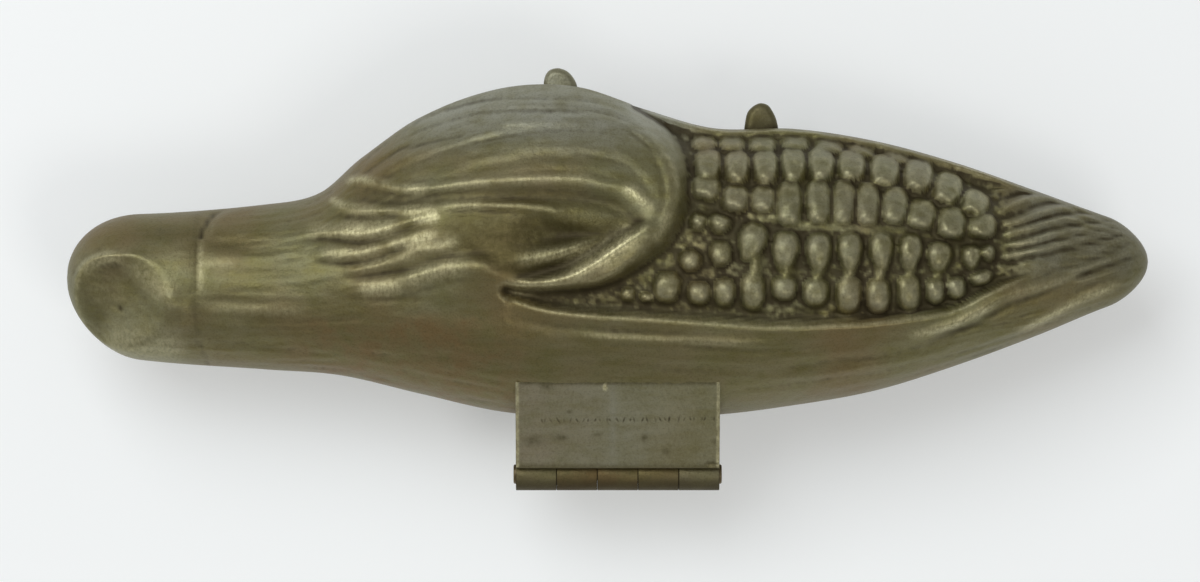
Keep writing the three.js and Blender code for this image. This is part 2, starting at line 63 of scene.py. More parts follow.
# The ear's form, as the frame has it: plan outlines, heights and rounded ends. The gap between the halves is
# narrower than the frame's, so that no light shows through the closed mould.
PARTING_HEIGHT = 15.2
PARTING_GAP = 0.02
STALK_END = -66.7
TIP_END = 66.7
STALK_ROUND = 9.0
TIP_ROUND = 5.0
CREST_LINE = [(-66.7, -1.6), (-57.7, -2.7), (-42, -2.7), (-30, -1.2), (-15, 0), (48, 0.2), (66.7, 0.4)]
REAR_RIM = [(-66.7, 6.7), (-57.7, 6.3), (-42, 7.5), (-35.5, 8.9), (-30.5, 13.1), (-23, 18.2), (-13, 21.7),
            (-4, 21.9), (4, 19.4), (13, 16.9), (23, 16.8), (33, 15.3), (43, 12.6), (53, 9.1), (61, 6.2),
            (66.7, 4.3)]
FRONT_RIM = [(-66.7, -9.9), (-57.7, -11.7), (-42, -12.9), (-33, -13.6), (-23, -15.9), (-13, -18.1),
             (-2, -18.9), (13, -18.5), (23, -17.3), (33, -15.5), (43, -12.4), (53, -8.7), (61, -5.4),
             (66.7, -3.5)]
UPPER_RISE = [(-66.7, 8.3), (-57.7, 9), (-42, 10), (-33, 11.4), (-22, 13.8), (-10, 15.2), (5, 15.6),
              (22, 15.8), (33, 14.6), (43, 12.2), (53, 8.8), (61, 5.6), (66.7, 3.7)]
LOWER_DROP = [(-66.7, 8.3), (-57.7, 9), (-42, 10), (-33, 11.6), (-22, 14.2), (-8, 15.9), (20, 15.9),
              (33, 14.4), (43, 12), (53, 8.6), (61, 5.6), (66.7, 3.7)]

# Where relief fades in from the rims and from the ends, in shares, and the heights that hold it down.
RIM_EASE = (0.02, 0.32)
END_EASE = (0.15, 0.85)
TOP_SOFT = 32.9
TOP_LIMIT = 33.35
SETTLING_ROUNDS = 10

# The carved relief, traced in pixels of the photograph: edges of its regions, and corners that close them.
LEAF_EDGE = [(640, 104), (662, 120), (680, 143), (689, 170), (690, 198), (684, 224), (670, 247), (645, 267),
             (613, 284), (580, 291), (545, 293), (508, 291)]
FRONT_EDGE = [(514, 294), (550, 304), (600, 309), (652, 312), (720, 317), (773, 320), (850, 318), (913, 312),
              (952, 304), (986, 287), (1025, 272), (1061, 261), (1093, 246), (1122, 231)]
TIP_EDGE = [(978, 170), (986, 190), (993, 205), (997, 225), (999, 245), (1000, 262), (996, 285)]
LEAF_CLOSING = [(508, 520), (0, 520), (0, 0), (640, 0)]
FRONT_CLOSING = [(1200, 231), (1200, 520), (0, 520), (0, 294)]
TIP_CLOSING = [(1200, 285), (1200, 170)]
LEAF_DISH = [(400, 196), (458, 192), (529, 186), (578, 185), (602, 189), (624, 198), (642, 211), (649, 222),
             (638, 237), (622, 249), (600, 264), (572, 279), (537, 285), (505, 281), (470, 262), (430, 250),
             (400, 225)]
LEAF_BAND = (1.0, 1.05, [(340, 195), (352, 194), (365, 195), (381, 198), (405, 201), (440, 199), (480, 196),
                         (530, 195), (570, 197), (610, 204), (640, 217)])
LEAF_HOLLOW = [(546, 212), (558, 218), (587, 225), (612, 228), (636, 225), (634, 234), (614, 237),
               (598, 243), (577, 249), (545, 256), (505, 259), (480, 247), (480, 226), (512, 214)]

# Strokes are a height and a half width in millimetres, then the line they follow. Negative ones are grooves.
LEAF_LIPS = [
    (0.36, 0.62, [(341, 187), (346, 183), (352, 181), (365, 180), (381, 184), (405, 190), (425, 190),
                  (445, 188), (465, 186), (485, 184), (514, 182), (548, 180), (581, 180), (604, 185),
                  (630, 190), (641, 199), (653, 211), (656, 222)]),
    (0.36, 0.62, [(330, 194), (333, 198), (338, 203), (349, 208), (364, 211), (381, 211), (405, 211),
                  (420, 210), (439, 208), (459, 206), (488, 206), (520, 207), (545, 210), (575, 216)]),
    (0.70, 0.95, [(500, 289), (520, 289), (538, 287), (566, 280), (595, 262), (624, 242), (644, 231),
                  (655, 219)]),
]
LEAF_FOLDS = [
    (0.36, 1.15, [(292, 233), (309, 231), (338, 232), (356, 231), (375, 230), (394, 227), (405, 222),
                  (416, 221), (428, 220), (441, 217), (462, 214)]),
    (0.32, 0.95, [(296, 252), (323, 253), (347, 254), (366, 252), (390, 245), (412, 242), (424, 238),
                  (439, 235), (452, 232), (474, 228)]),
    (0.26, 0.90, [(338, 274), (362, 270), (388, 262), (405, 257), (420, 250), (439, 247), (454, 243),
                  (463, 241), (490, 238)]),
    (0.44, 1.10, [(328, 291), (362, 289), (375, 289), (394, 288), (405, 284), (420, 277), (435, 273),
                  (450, 269), (472, 267), (506, 264)]),
    (0.50, 1.30, [(445, 273), (480, 270), (523, 261), (566, 253), (595, 243), (608, 236)]),
]
LEAF_RIBS = [
    (0.24, 0.42, [(344, 182), (358, 163), (378, 144), (402, 126), (436, 109), (476, 99)]),
    (-0.26, 0.32, [(348, 184), (362, 166), (382, 148), (408, 131), (444, 114), (482, 104)]),
    (-0.26, 0.32, [(354, 186), (374, 169), (398, 152), (428, 138), (462, 127), (500, 119)]),
    (0.24, 0.40, [(362, 186), (384, 172), (410, 158), (440, 147), (474, 138), (512, 131)]),
    (-0.22, 0.34, [(372, 187), (396, 174), (424, 162), (456, 152), (492, 146)]),
    (0.22, 0.50, [(378, 146), (395, 131), (430, 109), (475, 98), (530, 95), (585, 98), (630, 111),
                  (662, 131)]),
    (-0.24, 0.40, [(384, 149), (400, 136), (432, 114), (478, 103), (535, 100), (590, 103), (632, 117),
                   (656, 136)]),
    (-0.24, 0.42, [(420, 156), (460, 147), (500, 139), (545, 133), (590, 133), (620, 141), (640, 156)]),
    (0.20, 0.50, [(410, 172), (450, 155), (500, 146), (545, 140), (588, 141), (617, 149), (636, 163)]),
    (0.28, 0.55, [(348, 176), (370, 158), (401, 133), (436, 119), (481, 108), (537, 105), (580, 107),
                  (615, 112), (645, 124), (668, 140), (684, 160)]),
    (-0.30, 0.45, [(360, 170), (401, 141), (436, 127), (481, 115), (537, 111), (580, 112), (610, 117),
                   (640, 130), (660, 148)]),
    (0.30, 0.55, [(350, 178), (361, 167), (410, 146), (440, 137), (480, 127), (537, 121), (595, 120),
                  (630, 130)]),
    (-0.40, 0.42, [(385, 160), (401, 150), (425, 145), (450, 140), (476, 136)]),
    (0.24, 0.55, [(380, 170), (398, 160), (429, 151), (453, 146), (480, 139), (510, 130)]),
    (0.24, 0.58, [(440, 165), (480, 159), (509, 155), (537, 149), (566, 149), (595, 150), (618, 152),
                  (638, 165), (652, 179), (655, 194)]),
    (-0.26, 0.45, [(470, 168), (500, 165), (535, 160), (570, 158), (597, 159), (622, 166), (640, 180),
                   (648, 196)]),
    (0.22, 0.55, [(430, 181), (480, 176), (523, 171), (566, 168), (600, 171), (628, 183), (644, 198)]),
    (0.22, 0.90, [(560, 122), (581, 117), (606, 119), (632, 129), (652, 145), (667, 165), (675, 185),
                  (677, 202), (667, 222), (655, 237), (636, 254), (606, 271)]),
    (-0.40, 0.42, [(612, 127), (630, 134), (647, 148), (658, 170), (664, 190), (662, 211), (650, 230)]),
    (-0.24, 0.42, [(640, 120), (664, 144), (680, 172), (684, 198), (677, 222), (664, 243), (636, 266)]),
]
LEAF_CREASES = [
    (-0.46, 0.36, [(290, 239), (320, 239), (338, 240), (362, 243), (384, 239), (405, 231), (422, 225),
                   (439, 221), (462, 219)]),
    (-0.34, 0.50, [(322, 212), (348, 217), (380, 218), (405, 216), (425, 213), (450, 211), (490, 212),
                   (530, 216)]),
    (-0.32, 0.36, [(306, 262), (345, 264), (375, 261), (397, 252), (420, 243), (440, 240), (462, 236)]),
    (-0.34, 0.42, [(336, 281), (381, 274), (405, 271), (416, 268), (441, 259), (459, 256), (492, 252)]),
    (-0.25, 0.90, [(320, 303), (370, 303), (410, 297), (450, 284), (500, 274)]),
    (-0.80, 0.75, [(494, 287), (517, 281), (545, 272), (578, 259), (597, 248), (616, 235), (632, 227)]),
]
# Painted shadow: dark lines under the leaf's folds and in the wedge under its lower edge, each a share, a
# half width and a line.
SHADOW_LINES = [
    (0.6, 0.45, [(338, 216), (352, 218), (366, 218), (392, 216)]),
    (0.6, 0.40, [(306, 240), (338, 241), (362, 244), (384, 240), (408, 231)]),
    (0.5, 0.35, [(345, 264), (375, 261), (397, 252), (420, 244)]),
    (0.6, 0.35, [(388, 252), (400, 250), (412, 246)]),
    (0.4, 0.45, [(380, 275), (405, 271), (441, 260), (470, 255)]),
    (0.5, 0.60, [(520, 296), (580, 300), (650, 306), (700, 312)]),
]
# Highlights traced on the leaf's lips and folds, the stalk's dish and the stalk's lower side, painted bright
# as rubbed pewter: a share, a half width and a line.
RUBBED_HIGHLIGHTS = [
    (1.0, 0.28, [(344, 183), (352, 181), (365, 180), (381, 184)]),
    (0.6, 0.24, [(378, 183), (392, 187), (405, 190)]),
    (1.2, 0.34, [(401, 189), (415, 190), (433, 190)]),
    (0.7, 0.30, [(428, 190), (465, 186), (500, 183)]),
    (0.6, 0.30, [(496, 183), (548, 180), (583, 180), (606, 186)]),
    (1.0, 0.42, [(618, 187), (632, 192), (641, 199), (655, 214)]),
    (1.0, 0.28, [(331, 196), (338, 203), (351, 209)]),
    (0.8, 0.36, [(345, 207), (364, 211), (384, 211)]),
    (0.8, 0.40, [(398, 211), (420, 210), (442, 208)]),
    (0.5, 0.40, [(436, 208), (459, 206), (490, 206)]),
    (0.7, 0.55, [(304, 231), (338, 232), (358, 231)]),
    (1.2, 0.68, [(340, 231), (375, 230), (394, 227), (404, 223)]),
    (1.2, 0.34, [(411, 222), (428, 220), (444, 216)]),
    (0.8, 0.44, [(318, 253), (347, 254), (366, 252), (390, 245)]),
    (1.0, 0.38, [(384, 247), (412, 242), (424, 238), (444, 234)]),
    (0.5, 0.50, [(358, 271), (388, 262), (400, 258)]),
    (0.6, 0.42, [(392, 261), (405, 257), (420, 250), (439, 247), (466, 240)]),
    (1.2, 0.52, [(356, 289), (375, 289), (394, 288), (408, 283)]),
    (1.0, 0.62, [(400, 286), (420, 277), (435, 273), (450, 269), (476, 267)]),
    (0.5, 0.50, [(512, 263), (545, 256), (566, 252), (598, 243)]),
    (1.0, 0.55, [(503, 289), (538, 287), (568, 279)]),
    (1.3, 0.78, [(554, 284), (580, 272), (595, 262), (624, 242), (648, 229)]),
    (0.8, 0.40, [(650, 246), (657, 238), (665, 224), (671, 208)]),
    (0.8, 0.50, [(80, 280), (88, 268), (100, 260), (114, 257), (130, 260)]),
    (0.6, 0.80, [(126, 260), (142, 271), (158, 287), (174, 304)]),
    (0.30, 0.40, [(202, 262), (220, 263), (240, 264)]),
    (0.35, 0.50, [(200, 310), (250, 309), (320, 312)]),
    (0.62, 1.30, [(96, 330), (118, 343), (150, 345), (196, 342)]),
    (0.25, 1.60, [(90, 300), (112, 289), (132, 290)]),
]
# Gold highlights traced along the front husk's edge and folds, the tip's folds and the stalk's collar,
# painted as rubbed pewter: a share, a half width and a line.
GOLD_HIGHLIGHT_LINES = [
    (0.6, 0.45, [(520, 301), (560, 306), (613, 311), (651, 314), (700, 317), (740, 321), (800, 322),
                 (870, 319)]),
    (0.5, 0.35, [(570, 333), (594, 335), (618, 337), (665, 339), (712, 341), (760, 344)]),
    (1.0, 0.45, [(900, 336), (922, 332), (946, 326), (962, 318), (983, 309), (996, 300)]),
    (0.5, 0.40, [(996, 299), (1020, 291), (1044, 285), (1085, 271)]),
    (0.9, 0.45, [(1010, 334), (1024, 328), (1044, 318), (1075, 301), (1105, 289), (1124, 279)]),
    (0.7, 0.40, [(1006, 246), (1020, 243), (1040, 237), (1058, 231)]),
    (0.7, 0.40, [(1004, 259), (1022, 254), (1044, 249), (1066, 241)]),
    (0.5, 0.25, [(206, 236), (204, 250), (204, 272), (203, 296)]),
]
STALK_MARKS = [
    (-0.24, 0.70, [(230, 180), (210, 216), (203, 230), (199, 250), (198, 266), (196, 286), (196, 309),
                   (199, 326), (204, 350), (214, 385)]),
    (0.10, 0.50, [(240, 180), (220, 216), (212, 231), (208, 250), (207, 266), (205, 286), (205, 309),
                  (208, 326), (213, 350), (223, 385)]),
    (-0.36, 0.46, [(234, 190), (224, 208), (215, 217), (208, 226), (203, 240)]),
]
STALK_RIBS = [
    (0.12, 1.00, [(190, 232), (230, 232), (290, 232), (350, 236)]),
    (-0.12, 0.90, [(190, 246), (240, 247), (310, 250)]),
    (0.08, 1.00, [(190, 258), (240, 259), (305, 262)]),
    (-0.12, 0.80, [(190, 272), (235, 272), (300, 277)]),
    (-0.13, 0.75, [(190, 301), (235, 301), (285, 304)]),
    (0.09, 0.80, [(190, 310), (240, 309), (305, 313)]),
    (0.12, 0.90, [(190, 327), (250, 328), (320, 336)]),
    (-0.12, 0.90, [(190, 340), (250, 343), (330, 356)]),
]

# Dark spots are a pixel, half sizes in pixels and a share: stains, and painted shade in the stalk's dish and
# grooves, in the leaf's hollow and along a valley of the front husk.
DARK_STAINS_AND_SHADE = [(96, 290, 22, 22, 0.06), (120, 276, 18, 12, 0.10), (168, 232, 36, 9, 0.35),
               (198, 265, 5, 46, 0.60), (232, 246, 28, 5, 0.50), (228, 298, 26, 5, 0.45),
               (275, 320, 40, 7, 0.40), (1118, 250, 30, 16, 0.35), (1064, 262, 34, 7, 0.35),
               (272, 272, 48, 11, 0.35), (500, 155, 110, 26, 0.20), (506, 236, 44, 13, 0.62),
               (620, 352, 190, 26, 0.16)]
DISH_RIM = [
    (0.50, 0.50, [(76, 292), (80, 278), (87, 267), (96, 260), (110, 257), (122, 259), (132, 265)]),
    (0.60, 1.30, [(118, 256), (134, 262), (147, 274), (158, 287), (170, 300), (184, 316)]),
]
FRONT_MARKS = [
    (-0.34, 0.70, [(490, 313), (514, 318), (540, 323), (571, 328), (610, 331), (665, 335), (720, 339)]),
    (0.34, 0.42, [(540, 328), (559, 331), (594, 335), (618, 337), (665, 339), (712, 341), (760, 344),
                  (800, 344)]),
    (-0.24, 1.10, [(535, 361), (557, 363), (618, 361), (665, 366), (712, 367), (760, 364)]),
    (0.16, 1.20, [(530, 346), (590, 350), (650, 354), (720, 356), (790, 354)]),
    (-0.18, 0.80, [(740, 362), (800, 362), (860, 356), (920, 346), (980, 332)]),
    (0.40, 0.60, [(885, 341), (920, 334), (945, 325), (968, 316), (996, 299), (1031, 288), (1062, 277),
                  (1095, 262)]),
    (-0.30, 0.60, [(900, 347), (945, 335), (975, 323), (1003, 307), (1036, 296), (1070, 283)]),
    (0.34, 0.80, [(960, 346), (1010, 330), (1055, 311), (1087, 296), (1120, 280), (1138, 270)]),
    (0.36, 0.50, [(1040, 266), (1080, 255), (1108, 242), (1132, 235)]),
    (-0.34, 0.42, [(1052, 269), (1085, 260), (1110, 250), (1136, 241)]),
    (0.36, 0.50, [(1060, 275), (1080, 269), (1110, 259), (1131, 250), (1142, 247)]),
    (-0.30, 0.42, [(1060, 281), (1085, 274), (1112, 264), (1140, 254)]),
    (0.32, 0.50, [(1060, 287), (1080, 281), (1110, 271), (1138, 261)]),
    (-0.35, 0.42, [(992, 290), (1037, 276), (1067, 265), (1095, 257), (1128, 247)]),
]
TIP_RIBS = [
    (0.40, 0.42, [(984, 196), (1000, 189), (1020, 186), (1045, 189), (1066, 196)]),
    (0.36, 0.40, [(1010, 180), (1036, 183), (1060, 191), (1078, 199)]),
    (0.55, 0.42, [(986, 217), (1007, 207), (1022, 201), (1040, 197), (1060, 200), (1082, 206)]),
    (0.60, 0.42, [(992, 227), (1015, 222), (1032, 216), (1046, 211), (1062, 208), (1080, 209), (1098, 213)]),
    (0.60, 0.42, [(994, 238), (1015, 230), (1035, 226), (1060, 220), (1080, 218), (1100, 217), (1110, 218)]),
    (0.55, 0.42, [(997, 247), (1030, 241), (1057, 234), (1075, 231), (1095, 227), (1122, 225)]),
    (0.60, 0.42, [(997, 257), (1025, 252), (1050, 246), (1075, 240), (1090, 236), (1108, 232), (1130, 231)]),
    (-0.32, 0.32, [(990, 190), (1006, 184), (1030, 183), (1056, 190), (1078, 201)]),
    (-0.35, 0.32, [(988, 207), (1005, 198), (1022, 193), (1048, 193), (1072, 201)]),
    (-0.35, 0.32, [(992, 221), (1015, 214), (1034, 206), (1055, 202), (1078, 204), (1094, 209)]),
    (-0.35, 0.32, [(994, 232), (1018, 226), (1040, 219), (1062, 214), (1085, 213), (1105, 216)]),
    (-0.35, 0.32, [(996, 243), (1025, 236), (1050, 229), (1075, 225), (1100, 222), (1116, 221)]),
    (-0.35, 0.32, [(997, 252), (1030, 246), (1055, 240), (1080, 236), (1105, 229), (1126, 227)]),
    (-0.50, 0.40, [(996, 264), (1032, 257), (1062, 251), (1085, 245), (1105, 238), (1132, 236)]),
]

# The leaf's strokes with their scale, taper and flatness.
LEAF_STROKES = [(LEAF_LIPS, 1.0, 0.10, 1.3), (LEAF_FOLDS, 1.0, 0.25, 1.4), (LEAF_CREASES, 1.0, 0.25, 1.0),
                (LEAF_RIBS, 0.5, 0.2, 1.0)]
BAND_SHAPE = (0.12, 2.0)

# The relief's levels and reaches in millimetres, and the spans in which its forms fade in: along x or y, or
# inwards from an edge.
BED_DEPTH = 1.5
UNCOVERED = -99
RIM_STRIP = (0.45, 1.05)
FIBRE_GRID = (84, 34)
FIBRE_FADE_X = (-50, -40)
LEAF_ROLL = 1.2
LEAF_ROLL_GAIN = 1.8
LEAF_ROLL_X = (-2, 7)
LEAF_FADE_X = (-32, -8)
LEAF_FADE_Y = (-6.5, -0.5)
LEAF_INNER = (0, 1.2)
LEAF_FIBRE = 0.045
DISH_DROP = 0.75
DISH_INNER = (0, 1.8)
DISH_FADE_X = (-26, -8)
BAND_DROP = 0.40
HOLLOW_INNER = (0, 2.2)
HOLLOW_FADE_X = (-13, -4)
FRONT_ROLL = 0.8
FRONT_INNER = (0.5, 3)
FRONT_FIBRE = 0.035
LIP_RISE = 0.75
LIP_REACH = 3.2
LIP_START_X = (-13, -2)
LIP_END_X = (60, 40)
VEIN_RISE = 0.075
VEIN_TURNS = 30
VEIN_TOP_Y = -6
VEIN_START = (0.02, 0.2)
TIP_START = -0.6
TIP_FULL = 5.0
TIP_SINK = 0.3
TIP_SINK_INNER = (24, 0)
TIP_RIB_SCALE = 0.75
TIP_RIB_INNER = (-0.5, 1.0)
TIP_RIB_END_X = (62, 52)
FINE_RIB_RISE = 0.09
FINE_RIB_TURNS = 88
FINE_RIB_START_X = (53, 58)
FINE_RIB_END_X = (66, 62)
HUSK_START_X = (-50.5, -48.5)
HUSK_START_BOW = 0.02
STALK_DISH = (125, 301)
STALK_DISH_HALF = (5.7, 5.8)
STALK_DISH_DEPTH = 2.9
STALK_DISH_LEAN = 0.30
STALK_DISH_LEAN_REACH = 8
STALK_PIT = (122, 308)
STALK_PIT_DEPTH = 0.35
STALK_PIT_RADIUS = 0.4
BED_LEVEL = (-0.6, -1.3)
BED_START_X = (-14, -9)
KERNEL_LEVEL = (0.2, 1.0)
SKIN_ROUGH = 0.02
BED_ROUGH = 0.10
KERNEL_ROUGH = 0.03
ROUGH_REACH = 0.35
RELIEF_BLUR = 0.20
CAVITY_BLUR = 0.9

# Wear of the upper half: the reaches over which crests are judged, each with a full crest's height, then
# their share and that of the grime between the kernels.
WEAR_SCALES = [(0.8, 0.14), (1.8, 0.40)]
WEAR_SHARE = 0.55
BED_GRIME = 0.35
BED_GRIME_LEVEL = (-1.05, -1.42)

# Zones of patina and painted light: a share, then the spans along y and along x in which it fades in. A
# list's zones add up.
# The dish and hollow zones paint shade in the leaf's recesses, deepest under the fold over the dish; the tip
# zones make it darker towards its end.
DISH_SHADE = [(0.40, [], [(-24, -17)]), (0.52, [(7.2, 4.6)], [(-24, -17)])]
HOLLOW_SHADE = [(1.0, [], [(-18, -6)])]
TIP_DARK = [(0.25, [(-4, 0)], [(46, 52)]), (0.15, [], [(56, 64)])]
STALK_BROWN = [(0.9, [(-4.5, -7.5)], [(-44, -34), (-4, -14)])]
FRONT_BROWN = [(0.35, [(-6, -9)], [(60, 20), (-14, -4)])]
# A grey sheen painted on the rear of the bulge: a painted reflection of the light behind it as well as
# rubbed pewter.
REAR_GREY_SHEEN = [(0.06, [(7.5, 10.5)], [(-33, -18), (13, 6)]), (0.84, [(12, 18.5)], [(-33, -18), (13, 6)])]
TIP_GREY = [(0.42, [(-4, 1)], [(48, 53)])]
DISH_SHADE_INNER = (-0.2, 1.6)
HOLLOW_SHADE_INNER = (-0.3, 1.8)
BAND_DARK = 0.30
KERNEL_GREY = 0.20
KERNEL_GREY_LEVEL = (0.9, 1.5)

# Single spots: a share, a pixel and half sizes in millimetres; a brown patina spot in the stalk's dish, and
# a light patch painted low on the stalk's front where light falls.
DISH_BROWN = (0.5, (110, 284), 3.2, 2.6)
STALK_LIT_PATCH = (0.15, (150, 338), 7.5, 2.6)

# Rubbed and highlight lines: how much wider than traced they are painted, and the shares of the pale
# highlights and the gold ones.
HIGHLIGHT_SPREAD = 1.7
HIGHLIGHT_RUB_SHARE = 0.7
GOLD_HIGHLIGHT_SHARE = 0.8

# Kernels: share of the row's pitch, height in millimetres, narrowing towards the hinge side, how square the
# foot is, and each kernel's place and half height in pixels.
KERNEL_ROWS = [
    (0.94, 1.15, 0.05, 3.0, [(704, 143, 9), (732, 143, 9), (762, 144, 9), (795, 142, 9), (828, 146, 9),
                             (860, 149, 9), (895, 156, 9), (921, 163, 8)]),
    (0.96, 1.75, 0.08, 4.2, [(707, 165, 17), (736, 167, 17), (764, 167, 18), (792, 165, 18),
                             (820, 164, 18), (850, 165, 16), (883, 170, 17), (917, 174, 18),
                             (946, 188, 17), (973, 203, 13)]),
    (1.03, 1.80, 0.06, 4.0, [(705, 188, 13), (734, 199, 14), (761, 200, 14), (787, 204, 24), (816, 202, 24),
                             (841, 203, 24), (865, 205, 23), (892, 206, 20), (919, 215, 16), (949, 223, 17),
                             (979, 226, 13)]),
    (0.88, 1.75, 0.38, 2.4, [(697, 223, 9), (718, 225, 10), (750, 243, 21), (783, 252, 22), (816, 254, 22),
                             (847, 253, 22), (878, 252, 22), (907, 253, 20), (936, 258, 17), (968, 258, 13),
                             (985, 254, 9)]),
    (0.88, 1.65, 0.12, 2.6, [(666, 287, 16), (698, 293, 12), (723, 292, 15), (751, 291, 20), (782, 288, 13),
                             (813, 292, 15), (846, 295, 20), (875, 296, 19), (906, 293, 20), (932, 291, 14),
                             (953, 288, 12), (978, 278, 8)]),
    (0.76, 1.50, 0.20, 2.6, [(689, 261, 11), (719, 254, 13)]),
    (0.80, 1.10, 0.10, 2.6, [(628, 294, 7), (646, 297, 5)]),
]
KERNEL_STEMS = [
    (0.92, 0.72, [(752, 250), (753, 266), (752, 282)]), (0.95, 0.72, [(783, 262), (784, 274), (783, 286)]),
    (0.95, 0.72, [(815, 262), (815, 274), (814, 286)]), (0.95, 0.72, [(847, 262), (847, 274), (847, 286)]),
    (0.95, 0.72, [(877, 262), (877, 274), (876, 286)]), (0.92, 0.72, [(907, 262), (907, 274), (906, 286)]),
    (0.85, 0.65, [(935, 264), (934, 274), (933, 284)]),
]
KERNEL_LEDGE = (0.80, 0.85, [(715, 212), (745, 215), (775, 219), (806, 226), (836, 228), (880, 230),
                             (912, 232), (945, 241)])

# A kernel's form: how far its row turns it, where it narrows, its roundness along, at the rear and on top,
# its crown's lower side, the narrowing that makes a tooth of it, and how much the kernels of a row differ.
KERNEL_TURN = 0.7
KERNEL_NARROWS = (0.3, -1.0)
KERNEL_ALONG_POWER = 2.6
KERNEL_REAR_POWER = 2.5
KERNEL_DOME_POWER = 0.45
KERNEL_LOW_SIDE = 0.80
KERNEL_LEAN_SPAN = (-1, 0.5)
KERNEL_TOOTH = 0.2
KERNEL_UNEVEN = 0.06

# The lower half: its fine veins, its overlapping leaves, and its collar with a bead beside it. Each leaf is
# the turn at which its edge starts, the edge's sway and its height.
LOWER_VEIN_RISE = 0.09
LOWER_VEIN_TURNS = 34
LOWER_VEIN_START = (0.14, 0.2)
LOWER_LEAVES = [(0.62, 0.35, 0.75), (1.75, -0.30, 0.85), (2.55, -0.12, 0.6)]
LOWER_LEAF_ROLL = 0.9
LOWER_LEAF_REACH = 6
LOWER_LEAF_START = (0.2, 0.5)
COLLAR_X = STALK_END + 17
COLLAR_DEPTH = 0.5
COLLAR_HALF = 0.5
BEAD_X = COLLAR_X + 1.1
BEAD_RISE = 0.35
BEAD_HALF = 0.9

# Marks on a piece's points that its material reads: wear, patina and stains, and the painted shade, sheen
# and highlights.
WEAR_AND_LIGHT_MARKS = ("wear", "dark_patina", "brown_patina", "grey_rub", "bright_rub")

# The hinge, the lugs and the pegs, as the frame has them, but with narrower gaps between the knuckles.
HINGE_Y = -25.8
HINGE_CENTRE_X = 1.25
HINGE_WIDTH = 25.1
KNUCKLE_COUNT = 5
KNUCKLE_RADIUS = 2.0
KNUCKLE_GAP = 0.014
KNUCKLE_PITCH = HINGE_WIDTH / KNUCKLE_COUNT
KNUCKLE_LENGTH = KNUCKLE_PITCH - KNUCKLE_GAP
KNUCKLE_SIDES = 56
KNUCKLE_BEVEL = 0.10
BORE_RADIUS = 0.88
PIN_RADIUS = 0.8
PIN_SIDES = 40
PIN_BEVEL = 0.22
PIN_HEAD_RADIUS = 1.2
PIN_HEAD_THICK = 0.3
HINGE_LEAF_LIP_Y = HINGE_Y + 0.75
HINGE_LEAF_LIP_TOP = 3.3
HINGE_LEAF_ROOT_Y = -14.4
HINGE_LEAF_STAND = 0.12
HINGE_LEAF_CLEARANCE = 0.15
HINGE_LEAF_ROWS = 72
HINGE_LEAF_STATIONS = 220
HINGE_LEAF_WIDTH = HINGE_WIDTH - 2 * KNUCKLE_GAP
HINGE_LEAF_START = 0.25
HINGE_LEAF_BACK = [(0.25, -0.15), (0.4, -0.7), (0.4, -3)]
HINGE_LEAF_FOOT_Y = HINGE_Y + 7
HINGE_LEAF_COVE_STEPS = 9
HINGE_LEAF_BEVEL = 0.07
LUG_THICK = 2.2
LUG_LIFT = 0.3
LUG_ROOT = 4.0
LUG_BEVEL = 0.85
UPPER_LUG_EDGE = [(543.5, 97), (543.5, 86), (545, 77), (549, 71), (556, 68.5), (563, 69.5), (569, 73),
                  (574, 79), (577, 86), (578.5, 97)]
LOWER_LUG_EDGE = [(744, 133), (745, 124), (747, 114), (751, 108), (757, 104), (762, 103), (768, 105),
                  (772, 110), (776, 118), (778, 126), (779, 133)]

# Wear and painted light of the hinge and lugs: smudges and nicks in pixels, and each piece's share of dark,
# brown and grey patina. A nick's shift, lean, half length and depth are drawn by chance between the least
# and the most.
LEAF_NICKS = [(541, 420), (712, 418)]
NICK_COUNT = 30
NICK_SEED = 5
NICK_LEAST = [-0.25, -0.6, 0.15, 0.4]
NICK_MOST = [0.25, 0.6, 0.42, 1.0]
NICK_HALF = 0.11
NICK_DEPTH = 0.14
NICK_GRIME = 1.7
LEAF_BEAD = (605, 387)
LEAF_SMUDGES = [(533, 440, 9, 5), (561, 437, 7, 3), (598, 434, 4, 2), (644, 437, 3, 4), (547, 386, 6, 3),
                (666, 451, 4, 3), (570, 411, 3, 2), (715, 441, 3, 3)]
SMUDGE_DARK = 0.75
LEAF_CHIP = (713, 463)
CHIP_DEPTH = 0.35
# A grey sheen painted across the leaf, a painted reflection.
LEAF_SHEEN = (613, 420)
SHEEN_GREY = 0.22
LEAF_GREY = 0.42
LEAF_GREY_LOSS = 0.2
LEAF_GREY_LOSS_X = (2, 9)
LEAF_BROWN = 0.8
LEAF_BROWN_X = (4, -9)
LEAF_DARK_MOST = 0.9
LEAF_UNEVEN = 0.03
LEAF_RUB = 0.17
BURR_INSET = 0.22
BURR_HALF = 0.16
BURR_RISE = 0.18
# The burrs are raised and also painted brighter than their wear, a painted highlight.
BURR_RUB_HIGHLIGHT = 1.8
SOLDER_RISE = 0.3
SOLDER_RUB = 1.5
HIDDEN_LEAF_MARKS = (-0.3, 0.3, 0.3, 0, 0)
JOINT_REACH = 0.04
JOINT_GRIME = 1.6
